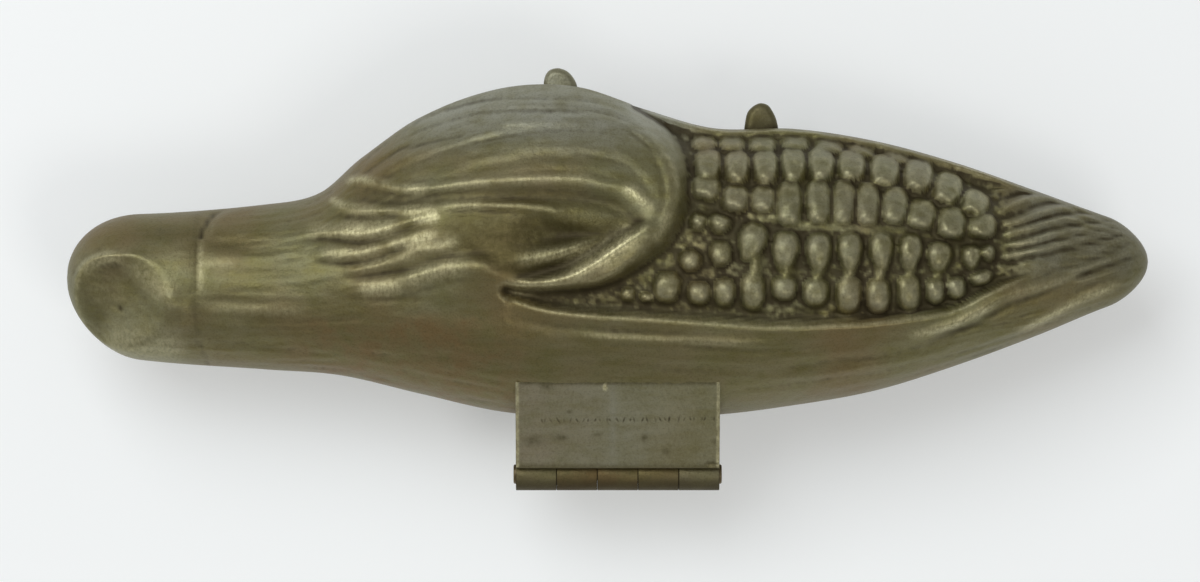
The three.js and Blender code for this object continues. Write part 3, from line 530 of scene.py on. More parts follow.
# The front top of the barrel is painted in shade through the wear mark.
BARREL_SHADE = 0.6
BARREL_SHADE_Y = (0.3, -1.6)
BARREL_SHADE_Z = (-1.5, 1.0)
KNUCKLE_STAINS = [(0.34, 0.45, 0.1), (0.46, 1.0, 0.0), (0.38, 0.9, 0.0), (0.40, 0.1, 0.0), (0.34, 0.1, 0.15)]
LUG_STAINS = {UPPER: (0.0, 0.0, 0.6), LOWER: (0.55, 0.2, 0.1)}
PEG_RADIUS = 0.7
PEG_SET = 2.2
PEG_STAND = 1.3
PEG_INSET = 1.4
PEG_CLEARANCE = 0.1
PEG_SIDES = 32
PEG_BEVEL = 0.3
PEG_PLACES = [("left", -44.0), ("right", 39.0)]

# A casting's mesh: how its stations gather over the ear and at its ends and its rows at the rims, and its
# wear inside and on the lower half.
STATION_SAMPLES = 2001
STATION_BASE = 0.6
STATION_EAR = 0.7
STATION_EAR_X = ((-40, -36), (62, 54))
STATION_ENDS = 2.5
STATION_END_REACH = 1.2
ROW_GATHER = 0.25
CASTING_MERGE = 1e-6
SMALL_MERGE = 1e-7
CASTING_SMOOTH = 80
INNER_WEAR = -0.3
LOWER_WEAR_ROWS = 6
LOWER_WEAR_FULL = 0.3
LOWER_WEAR = 0.5
LOWER_BROWN = 0.3

# Kinds of pewter: the material's name, how much duller than the castings' it is, and its share of brown.
PEWTERS = {
    "casting": ("aged_pewter", 0.0, 0.75),
    "leaf": ("aged_leaf_pewter", 0.02, 0.45),
    "knuckle": ("aged_knuckle_pewter", 0.0, 0.8),
}

# The pewter's patterns: scale, detail and roughness, and how streaks and hatching are stretched.
BROAD_NOISE = (60.0, 3.0, 0.55)
PATCHY_NOISE = (240.0, 5.0, 0.62)
FINE_NOISE = (1300.0, 4.0, 0.6)
GRAIN_NOISE = (4200.0, 3.0, 0.55)
STREAK_NOISE = (900.0, 4.0, 0.6)
STREAK_STRETCH = (0.22, 1.0, 1.0)
HATCH_NOISE = (2600.0, 4.0, 0.65)
HATCH_STRETCH = (1.0, 0.6, 0.6)

# Spans of patterns and marks over which the pewter changes, with the shares that some of them give.
OLIVE_SPAN = (0.38, 0.62)
BROWN_SPAN = (0.42, 0.66)
UNBROWNED_SPAN = (0.0, 0.5, 1.0, 0.15)
STAIN_SPAN = (0.36, 0.62, 0.2, 1.0)
GREEN_SPAN = (0.55, 0.75, 0.0, 0.30)
GREY_SPAN = (0.36, 0.58, 0.35, 1.0)
DARK_SPAN = (0.3, 0.6, 0.75, 1.0)
GRAIN_SPAN = (0.48, 0.75, 0.0, 0.32)
CREST_SPAN = (0.3, 1.6, 0.0, 0.7)
HATCH_SPAN = (0.34, 0.66, 0.3, 1.25)
GRIME_SPAN = (-0.12, -0.95)
GRIME_PATCH_SPAN = (0.25, 0.6, 0.6, 1.0)
GRIME_RUBBED_SPAN = (0.0, 0.8, 1.0, 0.25)
METAL_SPAN = (0.0, 1.0, 0.82, 0.6)
ROUGH_SPAN = (0.3, 0.7)
ROUGH_LEAST = 0.40
ROUGH_MOST = 0.54
GRIME_ROUGH = 0.2
CREST_SMOOTH = 0.10
PEWTER_BUMP = (0.5, 0.00018)
PEWTER_IOR = 1.5

# The pin's steel: its pattern, where rust and roughness lie in it, and its bumps.
STEEL_NOISE = (900.0, 4.0, 0.55)
RUST_SPAN = (0.5, 0.72)
STEEL_ROUGH_SPAN = (0.3, 0.7, 0.35, 0.6)
STEEL_METAL = 0.95
STEEL_BUMP = (0.4, 0.0001)

# The stage, in metres: its floor, its sky, and each light's name, place, size, power setting and colour.
FLOOR_SIZE = 3.0
FLOOR_NOISE = (9.0, 2.0, 0.55)
FLOOR_SPAN = (0.3, 0.7)
FLOOR_SHADE = 0.97
FLOOR_GLOW = 0.327
SKY_COLOUR = (1.0, 0.99, 0.97)
LIGHT_AIM = (0, 0, 0.02)
SOFT_LIGHTS = [
    ("rear_softbox", (-0.35, 0.45, 0.95), 0.7, "key_power", (0.93, 0.97, 1)),
    ("stalk_softbox", (-0.85, 0.05, 0.5), 0.7, "side_power", (1, 0.99, 0.96)),
    ("front_softbox", (0.35, -0.45, 0.95), 0.35, "front_power", (1, 0.99, 0.96)),
]
SENSOR_WIDTH = 36
CAMERA_CLIP_END = 20


def smooth_through(points):
    """Return a function that runs smoothly through points and is held level past their ends."""
    places, values = np.array(points, dtype=float).T
    slopes = np.gradient(values)
    slopes[1:-1] = (values[2:] - values[:-2]) / (places[2:] - places[:-2])
    slopes[0] = (values[1] - values[0]) / (places[1] - places[0])
    slopes[-1] = (values[-1] - values[-2]) / (places[-1] - places[-2])

    def at(x):
        x = np.clip(x, places[0], places[-1])
        i = np.clip(np.searchsorted(places, x, side="right") - 1, 0, len(places) - 2)
        span = places[i + 1] - places[i]
        t = (x - places[i]) / span
        turn = span * t * (1 - t) * ((1 - t) * slopes[i] - t * slopes[i + 1])
        return values[i] + (values[i + 1] - values[i]) * t * t * (3 - 2 * t) + turn

    return at


CREST = smooth_through(CREST_LINE)
REAR = smooth_through(REAR_RIM)
FRONT = smooth_through(FRONT_RIM)
RISE = {UPPER: smooth_through(UPPER_RISE), LOWER: smooth_through(LOWER_DROP)}


def ease(low, high, value):
    """Rise smoothly from 0 at low to 1 at high."""
    t = np.clip((value - low) / (high - low), 0, 1)
    return t * t * (3 - 2 * t)


def rolled(depth, roll):
    """Rise from 0 at an edge to 1 at roll inside it, as a rounded edge does."""
    return np.sin(np.clip(depth / roll, 0, 1) * math.pi / 2)


def on_ear(pixels):
    """Turn photograph pixels into millimetres on the mould's plan."""
    return (np.array(pixels, dtype=float) - PIXEL_ORIGIN) * (PIXEL, -PIXEL)


def spot(x, y, pixel, half_long, half_wide):
    """Return a soft round spot about a pixel, 1 at its middle."""
    centre = on_ear([pixel])[0]
    return np.exp(-((x - centre[0]) / half_long) ** 2 - ((y - centre[1]) / half_wide) ** 2)


def end_round(x, grow):
    """Close the section at both ends of the ear."""
    stalk = np.clip((x - (STALK_END - grow)) / (STALK_ROUND + grow), 0, 1)
    tip = np.clip(((TIP_END + grow) - x) / (TIP_ROUND + grow), 0, 1)
    return np.sqrt(1 - (1 - stalk) ** 2) * np.sqrt(1 - (1 - tip) ** 2)


def curve_through(points, share=8):
    """Return closely spaced points on a smooth curve through points."""
    points = np.array(points, dtype=float)
    padded = np.vstack([2 * points[0] - points[1], points, 2 * points[-1] - points[-2]])
    steps = np.linspace(0, 1, share, endpoint=False)[:, None]
    runs = []
    for a, b, c, d in zip(padded, padded[1:], padded[2:], padded[3:]):
        bend = (2 * a - 5 * b + 4 * c - d) * steps ** 2 + (3 * b - a - 3 * c + d) * steps ** 3
        runs.append(0.5 * (2 * b + (c - a) * steps + bend))
    return np.vstack(runs + [points[-1:]])


def nearest_on(curve, x, y):
    """Return each place's distance from a curve, and how far along the curve it lies, from 0 to 1."""
    lengths = np.hypot(*np.diff(curve, axis=0).T)
    starts = np.concatenate([[0], np.cumsum(lengths)])
    best = np.full(x.shape, np.inf)
    along = np.zeros(x.shape)
    for start, end, length, behind in zip(curve, curve[1:], lengths, starts):
        run = end - start
        t = np.clip(((x - start[0]) * run[0] + (y - start[1]) * run[1]) / length ** 2, 0, 1)
        apart = (x - start[0] - t * run[0]) ** 2 + (y - start[1] - t * run[1]) ** 2
        nearer = apart < best
        best = np.where(nearer, apart, best)
        along = np.where(nearer, (behind + t * length) / starts[-1], along)
    return np.sqrt(best), along


def inside_outline(outline, x, y):
    """Tell which places lie inside a closed outline."""
    inside = np.zeros(x.shape, dtype=bool)
    for (x0, y0), (x1, y1) in zip(outline, np.roll(outline, -1, axis=0)):
        if y0 == y1:
            continue
        crossing = (y0 > y) != (y1 > y)
        inside ^= crossing & (x < x0 + (y - y0) * (x1 - x0) / (y1 - y0))
    return inside


def read_between(grid, row, column):
    """Read a grid of numbers between its places."""
    row = np.clip(row, 0, grid.shape[0] - 1.001)
    column = np.clip(column, 0, grid.shape[1] - 1.001)
    i, j = row.astype(int), column.astype(int)
    v, u = row - i, column - j
    near = grid[i, j] * (1 - u) + grid[i, j + 1] * u
    far = grid[i + 1, j] * (1 - u) + grid[i + 1, j + 1] * u
    return near * (1 - v) + far * v


class Plan:
    """A map of heights over the ear's plan, in millimetres."""

    step = 0.15
    left = -68.0
    low = -20.5
    columns = 908
    rows = 294
    stroke_reach = 3
    rough_seed = 11
    fibre_seed = 23

    def __init__(self):
        across = self.left + self.step * np.arange(self.columns)
        up = self.low + self.step * np.arange(self.rows)
        self.x, self.y = np.meshgrid(across, up)

    def stroke(self, strokes, taper=0.3, flatness=1.0):
        """Return the sum of raised and sunk lines with tapered ends, round or flatter across."""
        total = np.zeros(self.x.shape)
        for height, half_width, pixels in strokes:
            curve = curve_through(on_ear(pixels))
            margin = self.stroke_reach * half_width
            corners = np.array([curve.min(axis=0) - margin, curve.max(axis=0) + margin])
            places = (corners - (self.left, self.low)) / self.step
            columns, rows = np.clip(places, 0, (self.columns, self.rows)).astype(int).T
            part = (slice(*rows), slice(*columns))
            apart, along = nearest_on(curve, self.x[part], self.y[part])
            fade = ease(0, taper, along) * ease(0, taper, 1 - along)
            total[part] += height * fade * np.exp(-(apart / half_width) ** (2 * flatness))
        return total

    def depth_inside(self, edge_pixels, closing_pixels=()):
        """Return how far places lie inside a region, from its edge line but not from its closing corners."""
        if closing_pixels:
            edge = curve_through(on_ear(edge_pixels))
            outline = np.vstack([edge, on_ear(closing_pixels)])
        else:
            edge = curve_through(on_ear(edge_pixels + edge_pixels[:1]))
            outline = edge
        apart, _ = nearest_on(edge, self.x, self.y)
        return np.where(inside_outline(outline, self.x, self.y), apart, -apart)

    def blurred(self, heights, reach):
        """Return heights averaged over about reach millimetres."""
        half = max(int(round(reach / self.step)), 1)
        window = np.hanning(2 * half + 3)[1:-1]
        window /= window.sum()
        padded = np.pad(heights, half, mode="edge")
        padded = np.apply_along_axis(np.convolve, 0, padded, window, mode="valid")
        return np.apply_along_axis(np.convolve, 1, padded, window, mode="valid")

    def roughness(self, reach):
        """Return even, seeded unevenness with a spread of about 1."""
        noise = self.blurred(np.random.default_rng(self.rough_seed).normal(size=self.x.shape), reach)
        return noise / noise.std()

    def across(self):
        """Return each place's share of the way from the front rim to the rear one."""
        return (self.y - FRONT(self.x)) / (REAR(self.x) - FRONT(self.x))

    def zones(self, table):
        """Return the sum of a table's zones of patina."""
        total = np.zeros(self.x.shape)
        for share, y_spans, x_spans in table:
            zone = np.full(self.x.shape, share)
            for span in y_spans:
                zone *= ease(*span, self.y)
            for span in x_spans:
                zone *= ease(*span, self.x)
            total += zone
        return total

    def fibres(self):
        """Return seeded fibres with a spread of about 1 that run along the ear and meet at its ends."""
        along = (self.x - STALK_END) / (TIP_END - STALK_END)
        grid = np.random.default_rng(self.fibre_seed).normal(size=FIBRE_GRID)
        return read_between(grid, self.across() * FIBRE_GRID[0], along * FIBRE_GRID[1])

    def sample(self, heights, x, y):
        """Read heights between the map's points."""
        return read_between(heights, (y - self.low) / self.step, (x - self.left) / self.step)


def kernel_heights(plan):
    """Return the heights of the kernels above their bed."""
    heights = plan.stroke([KERNEL_LEDGE]) + plan.stroke(KERNEL_STEMS, taper=0.15)
    for share, tall, narrowing, squareness, kernels in KERNEL_ROWS:
        centres = on_ear([kernel[:2] for kernel in kernels])
        turns = np.gradient(centres, axis=0)
        for number, (centre, turn) in enumerate(zip(centres, turns)):
            half_along = share * np.hypot(*turn) / 2
            half_across = kernels[number][2] * PIXEL
            turn = np.array([turn[0], KERNEL_TURN * turn[1]])
            turn /= np.hypot(*turn)
            dx = plan.x - centre[0]
            dy = plan.y - centre[1]
            along = (dx * turn[0] + dy * turn[1]) / half_along
            across = (dy * turn[0] - dx * turn[1]) / half_across
            taper = 1 - narrowing * ease(*KERNEL_NARROWS, across)
            power = np.where(across > 0, KERNEL_REAR_POWER, squareness)
            radius = np.abs(along / taper) ** KERNEL_ALONG_POWER + np.abs(across) ** power
            lean = across if narrowing > KERNEL_TOOTH else -across
            crown = KERNEL_LOW_SIDE + (1 - KERNEL_LOW_SIDE) * ease(*KERNEL_LEAN_SPAN, lean)
            dome = np.clip(1 - radius, 0, 1) ** KERNEL_DOME_POWER * crown
            size = 1 + KERNEL_UNEVEN * math.sin(2.3 * number + 5 * share)
            heights = np.maximum(heights, tall * size * dome)
    return heights


def tip_heights(plan, tip_depth):
    """Return the tip's heights: a climb out of the kernels' bed, broad ribs, and fine ones at the point."""
    x = plan.x
    climb = BED_DEPTH - TIP_SINK * ease(*TIP_SINK_INNER, tip_depth)
    heights = -BED_DEPTH + climb * ease(TIP_START, TIP_FULL, tip_depth)
    ribs = TIP_RIB_SCALE * plan.stroke(TIP_RIBS, taper=0.12) * ease(*TIP_RIB_INNER, tip_depth)
    heights += ribs * (0.5 + 0.5 * ease(*TIP_RIB_END_X, x))
    fine_ribs = FINE_RIB_RISE * np.cos(FINE_RIB_TURNS * plan.across() + 0.5 * np.sin(x / 3))
    return heights + fine_ribs * ease(*FINE_RIB_START_X, x) * ease(*FINE_RIB_END_X, x)


def leaf_heights(plan, settings, fibres):
    """Return the peeled leaf's heights: its rolled edge, dish, band, hollow, folds, ribs and fibres."""
    x, y = plan.x, plan.y
    depth = plan.depth_inside(LEAF_EDGE, LEAF_CLOSING)
    cover = rolled(depth, LEAF_ROLL + LEAF_ROLL_GAIN * ease(*LEAF_ROLL_X, x))
    heights = settings.leaf_rise * ease(*LEAF_FADE_X, x) * ease(*LEAF_FADE_Y, y) * cover
    heights -= DISH_DROP * ease(*DISH_INNER, plan.depth_inside(LEAF_DISH)) * ease(*DISH_FADE_X, x)
    heights -= BAND_DROP * plan.stroke([LEAF_BAND], *BAND_SHAPE)
    hollow = ease(*HOLLOW_INNER, plan.depth_inside(LEAF_HOLLOW)) * ease(*HOLLOW_FADE_X, x)
    heights -= settings.hollow_depth * hollow
    folds = np.zeros(x.shape)
    for lines, scale, taper, flatness in LEAF_STROKES:
        folds += scale * plan.stroke(lines, taper, flatness)
    heights += (settings.fold_scale * folds + LEAF_FIBRE * fibres) * ease(*LEAF_INNER, depth)
    return np.where(depth > 0, -BED_DEPTH * (1 - cover) + heights, UNCOVERED)


def front_heights(plan, fibres):
    """Return the front husk leaf's heights: its lip, veins, fibres and marks."""
    x = plan.x
    depth = plan.depth_inside(FRONT_EDGE, FRONT_CLOSING)
    cover = rolled(depth, FRONT_ROLL)
    climb = np.clip((plan.y - FRONT(x)) / (VEIN_TOP_Y - FRONT(x)), 0, 1)
    veins = VEIN_RISE * np.cos(VEIN_TURNS * climb ** 0.8 + 0.8 * np.sin(x / 11)) * ease(*VEIN_START, climb)
    veins *= 0.6 + 0.4 * np.sin(x / 6.3 + 9 * climb)
    lip = LIP_RISE * np.exp(-np.clip(depth, 0, None) / LIP_REACH)
    lip *= ease(*LIP_START_X, x) * ease(*LIP_END_X, x)
    heights = -BED_DEPTH * (1 - cover) + lip * cover
    heights += (veins + FRONT_FIBRE * fibres) * ease(*FRONT_INNER, depth)
    return np.where(depth > 0, heights + plan.stroke(FRONT_MARKS), UNCOVERED)


def stalk_heights(plan):
    """Return the stalk's heights: its collar, its ribs, and the sunken dish with its rim and pit."""
    x, y = plan.x, plan.y
    husk = ease(*HUSK_START_X, x - HUSK_START_BOW * y ** 2)
    heights = plan.stroke(STALK_MARKS, taper=0.02) + plan.stroke(STALK_RIBS) * husk
    heights += plan.stroke(DISH_RIM, taper=0.15)
    centre = on_ear([STALK_DISH])[0]
    dx = x - centre[0]
    dy = y - centre[1]
    bowl = np.clip(1 - (dx / STALK_DISH_HALF[0]) ** 2 - (dy / STALK_DISH_HALF[1]) ** 2, 0, 1)
    lean = 1 + STALK_DISH_LEAN * np.clip((dy - dx) / STALK_DISH_LEAN_REACH, -1, 1)
    heights -= STALK_DISH_DEPTH * lean * bowl
    return heights - STALK_PIT_DEPTH * spot(x, y, STALK_PIT, STALK_PIT_RADIUS, STALK_PIT_RADIUS)


def carve_upper(plan, kernels, settings):
    """Return the upper half's relief on its plan map."""
    tip_depth = plan.depth_inside(TIP_EDGE, TIP_CLOSING)
    fibres = plan.fibres() * ease(*FIBRE_FADE_X, plan.x)
    bed = -BED_DEPTH + settings.kernel_scale * kernels
    bed *= ease(*RIM_STRIP, REAR(plan.x) - plan.y)
    under = np.where(tip_depth > TIP_START, np.maximum(bed, tip_heights(plan, tip_depth)), bed)
    relief = np.maximum(under, leaf_heights(plan, settings, fibres))
    relief = np.maximum(relief, front_heights(plan, fibres)) + stalk_heights(plan)
    in_bed = ease(*BED_LEVEL, relief) * ease(*BED_START_X, plan.x)
    unevenness = SKIN_ROUGH + BED_ROUGH * in_bed + KERNEL_ROUGH * ease(*KERNEL_LEVEL, kernels)
    return plan.blurred(relief + plan.roughness(ROUGH_REACH) * unevenness, RELIEF_BLUR)


def plan_wear(plan, relief):
    """Return how proud each place of the upper half stands: 1 on rubbed crests, -1 in dirty hollows."""
    wear = sum(WEAR_SHARE * (relief - plan.blurred(relief, reach)) / full for reach, full in WEAR_SCALES)
    return wear - BED_GRIME * ease(*BED_GRIME_LEVEL, relief) * ease(*BED_START_X, plan.x)


def plan_stains(plan, kernels):
    """Return where dark patina and painted shade, brown patina, grey rubbing and painted sheen, and bright
    rubbing and painted highlights lie on the upper half.
    """
    x, y = plan.x, plan.y
    # Dark patina and stains, with painted shade in the dish, the hollow and under the folds.
    darks = [
        plan.zones(DISH_SHADE) * ease(*DISH_SHADE_INNER, plan.depth_inside(LEAF_DISH)),
        plan.zones(HOLLOW_SHADE) * ease(*HOLLOW_SHADE_INNER, plan.depth_inside(LEAF_HOLLOW)),
        plan.zones(TIP_DARK),
        BAND_DARK * plan.stroke([LEAF_BAND], *BAND_SHAPE),
        plan.stroke(SHADOW_LINES, taper=0.25),
    ]
    for px, py, half_long, half_wide, share in DARK_STAINS_AND_SHADE:
        darks.append(share * spot(x, y, (px, py), half_long * PIXEL, half_wide * PIXEL))
    browns = [
        plan.zones(STALK_BROWN),
        plan.zones(FRONT_BROWN),
        DISH_BROWN[0] * spot(x, y, *DISH_BROWN[1:]),
    ]
    # Grey rubbing, with the painted sheen on the rear of the bulge and the painted light patch low on the
    # stalk.
    greys = [
        plan.zones(REAR_GREY_SHEEN),
        plan.zones(TIP_GREY),
        KERNEL_GREY * ease(*KERNEL_GREY_LEVEL, kernels),
        STALK_LIT_PATCH[0] * spot(x, y, *STALK_LIT_PATCH[1:]),
    ]
    # The traced lines paint highlights as bright rubbed pewter.
    widened = [(share, HIGHLIGHT_SPREAD * half_width, line) for share, half_width, line in RUBBED_HIGHLIGHTS]
    rubbed = HIGHLIGHT_RUB_SHARE * plan.stroke(widened, taper=0.25) + GOLD_HIGHLIGHT_SHARE * plan.stroke(GOLD_HIGHLIGHT_LINES, taper=0.2)
    return np.max(darks, axis=0), np.max(browns, axis=0), np.max(greys, axis=0), np.clip(rubbed, 0, 1)


def skin_base(side, x, turn, grow):
    """Return the smooth skin's points at stations x and turns from the rear rim, offset by grow."""
    end = end_round(x, grow)
    tall = (RISE[side](x) + grow) * end
    rear = (REAR(x) - CREST(x) + grow) * end
    front = (CREST(x) - FRONT(x) + grow) * end
    wide = np.where(turn < math.pi / 2, rear, front)
    y = CREST(x) + wide * np.cos(turn)
    z = PARTING_HEIGHT + side * (PARTING_GAP / 2 + tall * np.sin(turn))
    return np.stack([x, y, z], axis=-1)


def outward(side, points):
    """Return normals of a grid of points, facing away from the parting plane."""
    by_x = np.gradient(points, axis=0)
    by_turn = np.gradient(points, axis=1)
    normals = np.cross(by_x, by_turn)
    normals /= np.linalg.norm(normals, axis=-1, keepdims=True) + 1e-12
    facing = np.sign(np.sum(normals[..., 2]) * side)
    return normals * facing


def softened(heights):
    """Average a grid's heights with those beside them."""
    for axis in (0, 1):
        padded = np.pad(heights, [(1, 1) if axis == side else (0, 0) for side in (0, 1)], mode="edge")
        count = heights.shape[axis]
        before = padded.take(range(0, count), axis=axis)
        after = padded.take(range(2, count + 2), axis=axis)
        heights = (before + 2 * heights + after) / 4
    return heights


def inside_rims(points, grow):
    """Keep a skin's points from standing out past the rims and ends."""
    x = np.clip(points[..., 0], STALK_END - grow, TIP_END + grow)
    end = end_round(x, grow)
    low = CREST(x) - (CREST(x) - FRONT(x) + grow) * end
    high = CREST(x) + (REAR(x) - CREST(x) + grow) * end
    return np.stack([x, np.clip(points[..., 1], low, high), points[..., 2]], axis=-1)


def relief_weight(x, turn, grow):
    """Return the share of the relief that a place of the skin has: none at the rims and the ends."""
    return ease(*RIM_EASE, np.sin(turn)) * ease(*END_EASE, end_round(x, grow))


def carved_upper(plan, relief, x, turn, grow):
    """Return the upper skin's points, displaced so that each mark lands at its place in plan."""
    base = skin_base(UPPER, x, turn, grow)
    normals = outward(UPPER, base)
    weight = relief_weight(x, turn, grow)
    lift = np.zeros(x.shape)
    for _ in range(SETTLING_ROUNDS):
        points = base + normals * lift[..., None]
        wanted = softened(plan.sample(relief, points[..., 0], points[..., 1])) * weight
        lift += (wanted - lift) / 2
    points = inside_rims(base + normals * lift[..., None], grow)
    room = TOP_LIMIT - TOP_SOFT
    over = np.clip(points[..., 2] - TOP_SOFT, 0, None)
    points[..., 2] = np.minimum(points[..., 2], TOP_SOFT) + room * np.tanh(over / room)
    return points


def carved_lower(x, turn, grow):
    """Return the lower skin's points: long husk leaves that overlap, with a flat to stand on."""
    base = skin_base(LOWER, x, turn, grow)
    normals = outward(LOWER, base)
    along = (x - STALK_END) / (TIP_END - STALK_END)
    girth = RISE[LOWER](x) * end_round(x, grow)
    veins = np.cos(LOWER_VEIN_TURNS * turn + 1.1 * np.sin(x / 12))
    lift = LOWER_VEIN_RISE * veins * ease(*LOWER_VEIN_START, along)
    for start, sway, tall in LOWER_LEAVES:
        edge = start + sway * np.sin(2.6 * along) + 0.05 * np.sin(x / 7)
        inside = (turn - edge) * girth
        fade = np.exp(-np.clip(inside, 0, None) / LOWER_LEAF_REACH) * ease(*LOWER_LEAF_START, along)
        lift += tall * rolled(inside, LOWER_LEAF_ROLL) * fade
    lift -= COLLAR_DEPTH * np.exp(-((x - COLLAR_X) / COLLAR_HALF) ** 2)
    lift += BEAD_RISE * np.exp(-((x - BEAD_X) / BEAD_HALF) ** 2)
    points = inside_rims(base + normals * (lift * relief_weight(x, turn, grow))[..., None], grow)
    points[..., 2] = np.maximum(points[..., 2], -grow)
    return points


def to_metres(points):
    """Return points in metres as one flat run of numbers."""
    return (np.asarray(points) * MM).astype(np.float32).ravel()


def start_primitive(name, add, **arguments):
    """Add one primitive with nothing else selected, and return its object."""
    if bpy.context.mode != "OBJECT":
        bpy.ops.object.mode_set(mode="OBJECT")
    bpy.ops.object.select_all(action="DESELECT")
    add(**arguments)
    piece = bpy.context.object
    piece.name = name
    piece.data.name = name
    return piece


def settle(piece):
    """Put a piece's place, turn and scale into its mesh."""
    bpy.ops.object.select_all(action="DESELECT")
    piece.select_set(True)
    bpy.context.view_layer.objects.active = piece
    bpy.ops.object.transform_apply(location=True, rotation=True, scale=True)


def apply_modifier(piece, kind, **settings):
    """Add a modifier to a piece and apply it."""
    bpy.context.view_layer.objects.active = piece
    modifier = piece.modifiers.new(kind.title(), kind)
    for key, value in settings.items():
        setattr(modifier, key, value)
    bpy.ops.object.modifier_apply(modifier=modifier.name)


def bevel(piece, width, segments, angle=50):
    """Round a piece's edges that are sharper than an angle in degrees."""
    apply_modifier(piece, "BEVEL", width=width * MM, segments=segments, limit_method="ANGLE",
                   angle_limit=math.radians(angle))


def finish_piece(piece, body, nodes, material, smooth_angle=40):
    """Smooth a piece, give it its material, and tie it to its body and the nodes it stands for."""
    settle(piece)
    bpy.ops.object.shade_smooth_by_angle(angle=math.radians(smooth_angle))
    piece.data.materials.clear()
    piece.data.materials.append(material)
    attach(piece, body)
    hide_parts(*nodes)


def edit_all(piece):
    """Start to edit a piece with all of it selected."""
    bpy.context.view_layer.objects.active = piece
    bpy.ops.object.mode_set(mode="EDIT")
    bpy.ops.mesh.select_all(action="SELECT")


def close_mesh(piece, merge):
    """Merge a piece's doubles and turn its faces outwards."""
    edit_all(piece)
    bpy.ops.mesh.remove_doubles(threshold=merge)
    bpy.ops.mesh.normals_make_consistent(inside=False)
    bpy.ops.object.mode_set(mode="OBJECT")


def points_of(piece):
    """Return a piece's points in millimetres."""
    flat = np.empty(len(piece.data.vertices) * 3, dtype=np.float32)
    piece.data.vertices.foreach_get("co", flat)
    return flat.reshape(-1, 3) / MM


def grid_places(piece, columns, rows):
    """Return the column and row of each point of a new grid one metre across."""
    places = (points_of(piece)[:, :2] * MM + 0.5) * (columns, rows)
    return np.rint(places).astype(int).T


def set_marks(piece, marks):
    """Write the marks of wear, patina and painted light on a piece's points, one column for each mark."""
    for channel, mark_name in enumerate(WEAR_AND_LIGHT_MARKS):
        mark = piece.data.attributes.new(mark_name, "FLOAT", "POINT")
        mark.data.foreach_set("value", np.clip(marks[..., channel], -1, 1).astype(np.float32))


def station_shares(count):
    """Return where a casting's stations lie, from 0 to 1: closest at its ends and over the carved ear."""
    share = np.linspace(0, 1, STATION_SAMPLES)
    x = STALK_END + (TIP_END - STALK_END) * share
    ear_start, ear_end = STATION_EAR_X
    density = STATION_BASE + STATION_EAR * ease(*ear_start, x) * ease(*ear_end, x)
    density += STATION_ENDS * np.exp((STALK_END - x) / STATION_END_REACH)
    density += STATION_ENDS * np.exp((x - TIP_END) / STATION_END_REACH)
    reached = np.cumsum(density) - density[0]
    return np.interp(np.linspace(0, reached[-1], count + 1), reached, share)


def casting_piece(name, settings, skin, wear_of):
    """Model a half shell from a grid whose rows run over the outside, across the rim and back inside."""
    stations = settings.stations
    rows = settings.outer_rows + 1 + settings.inner_rows + 1
    piece = start_primitive(name, bpy.ops.mesh.primitive_grid_add, x_subdivisions=stations,
                            y_subdivisions=rows, size=1)
    column, row = grid_places(piece, stations, rows)
    share = station_shares(stations)
    even = np.linspace(0, 1, settings.outer_rows + 1)
    outer_turn = np.pi * ((1 - ROW_GATHER) * even + ROW_GATHER * 0.5 * (1 - np.cos(np.pi * even)))
    inner_turn = np.pi * np.linspace(1, 0, settings.inner_rows + 1)
    wall = settings.wall / MM
    outer_x = STALK_END + (TIP_END - STALK_END) * share
    inner_x = STALK_END + wall + (TIP_END - STALK_END - 2 * wall) * share
    outside = skin(*np.meshgrid(outer_x, outer_turn, indexing="ij"), 0.0)
    inside = skin(*np.meshgrid(inner_x, inner_turn, indexing="ij"), -wall)
    shell = np.concatenate([outside, inside, outside[:, :1]], axis=1)
    piece.data.vertices.foreach_set("co", to_metres(shell[column, row]))
    inner_wear = np.zeros(inside.shape[:2] + (len(WEAR_AND_LIGHT_MARKS),))
    inner_wear[..., 0] = INNER_WEAR
    outer_wear = wear_of(outside)
    wear = np.concatenate([outer_wear, inner_wear, outer_wear[:, :1]], axis=1)
    set_marks(piece, wear[column, row])
    piece.data.update()
    close_mesh(piece, CASTING_MERGE)
    return piece


def peg_y(x):
    """Return how far back a register peg stands."""
    return float(REAR(np.array(x))) - PEG_INSET


def cut_socket(piece, x):
    """Cut the hole that a register peg enters when the mould shuts."""
    deep = PEG_STAND + PEG_CLEARANCE
    cutter = start_primitive("socket_cutter", bpy.ops.mesh.primitive_cylinder_add, vertices=PEG_SIDES,
                             radius=(PEG_RADIUS + PEG_CLEARANCE) * MM, depth=2 * deep * MM)
    cutter.location = (x * MM, peg_y(x) * MM, PARTING_HEIGHT * MM)
    settle(cutter)
    apply_modifier(piece, "BOOLEAN", operation="DIFFERENCE", solver="MANIFOLD", object=cutter)
    bpy.data.meshes.remove(cutter.data)


def link_or_set(tree, socket, value):
    """Link a socket to another's output, or set its value."""
    if isinstance(value, bpy.types.NodeSocket):
        tree.links.new(value, socket)
    else:
        socket.default_value = value


def add_node(tree, kind, inputs=None, **settings):
    """Add a shader node, set it up and feed its inputs."""
    node = tree.nodes.new(kind)
    for key, value in settings.items():
        setattr(node, key, value)
    for key, value in (inputs or {}).items():
        link_or_set(tree, node.inputs[key], value)
    return node


def add_noise(tree, place, scale, detail, rough):
    """Add a noise pattern and return its value."""
    node = add_node(tree, "ShaderNodeTexNoise",
                    {"Vector": place, "Scale": scale, "Detail": detail, "Roughness": rough})
    return node.outputs["Fac"]


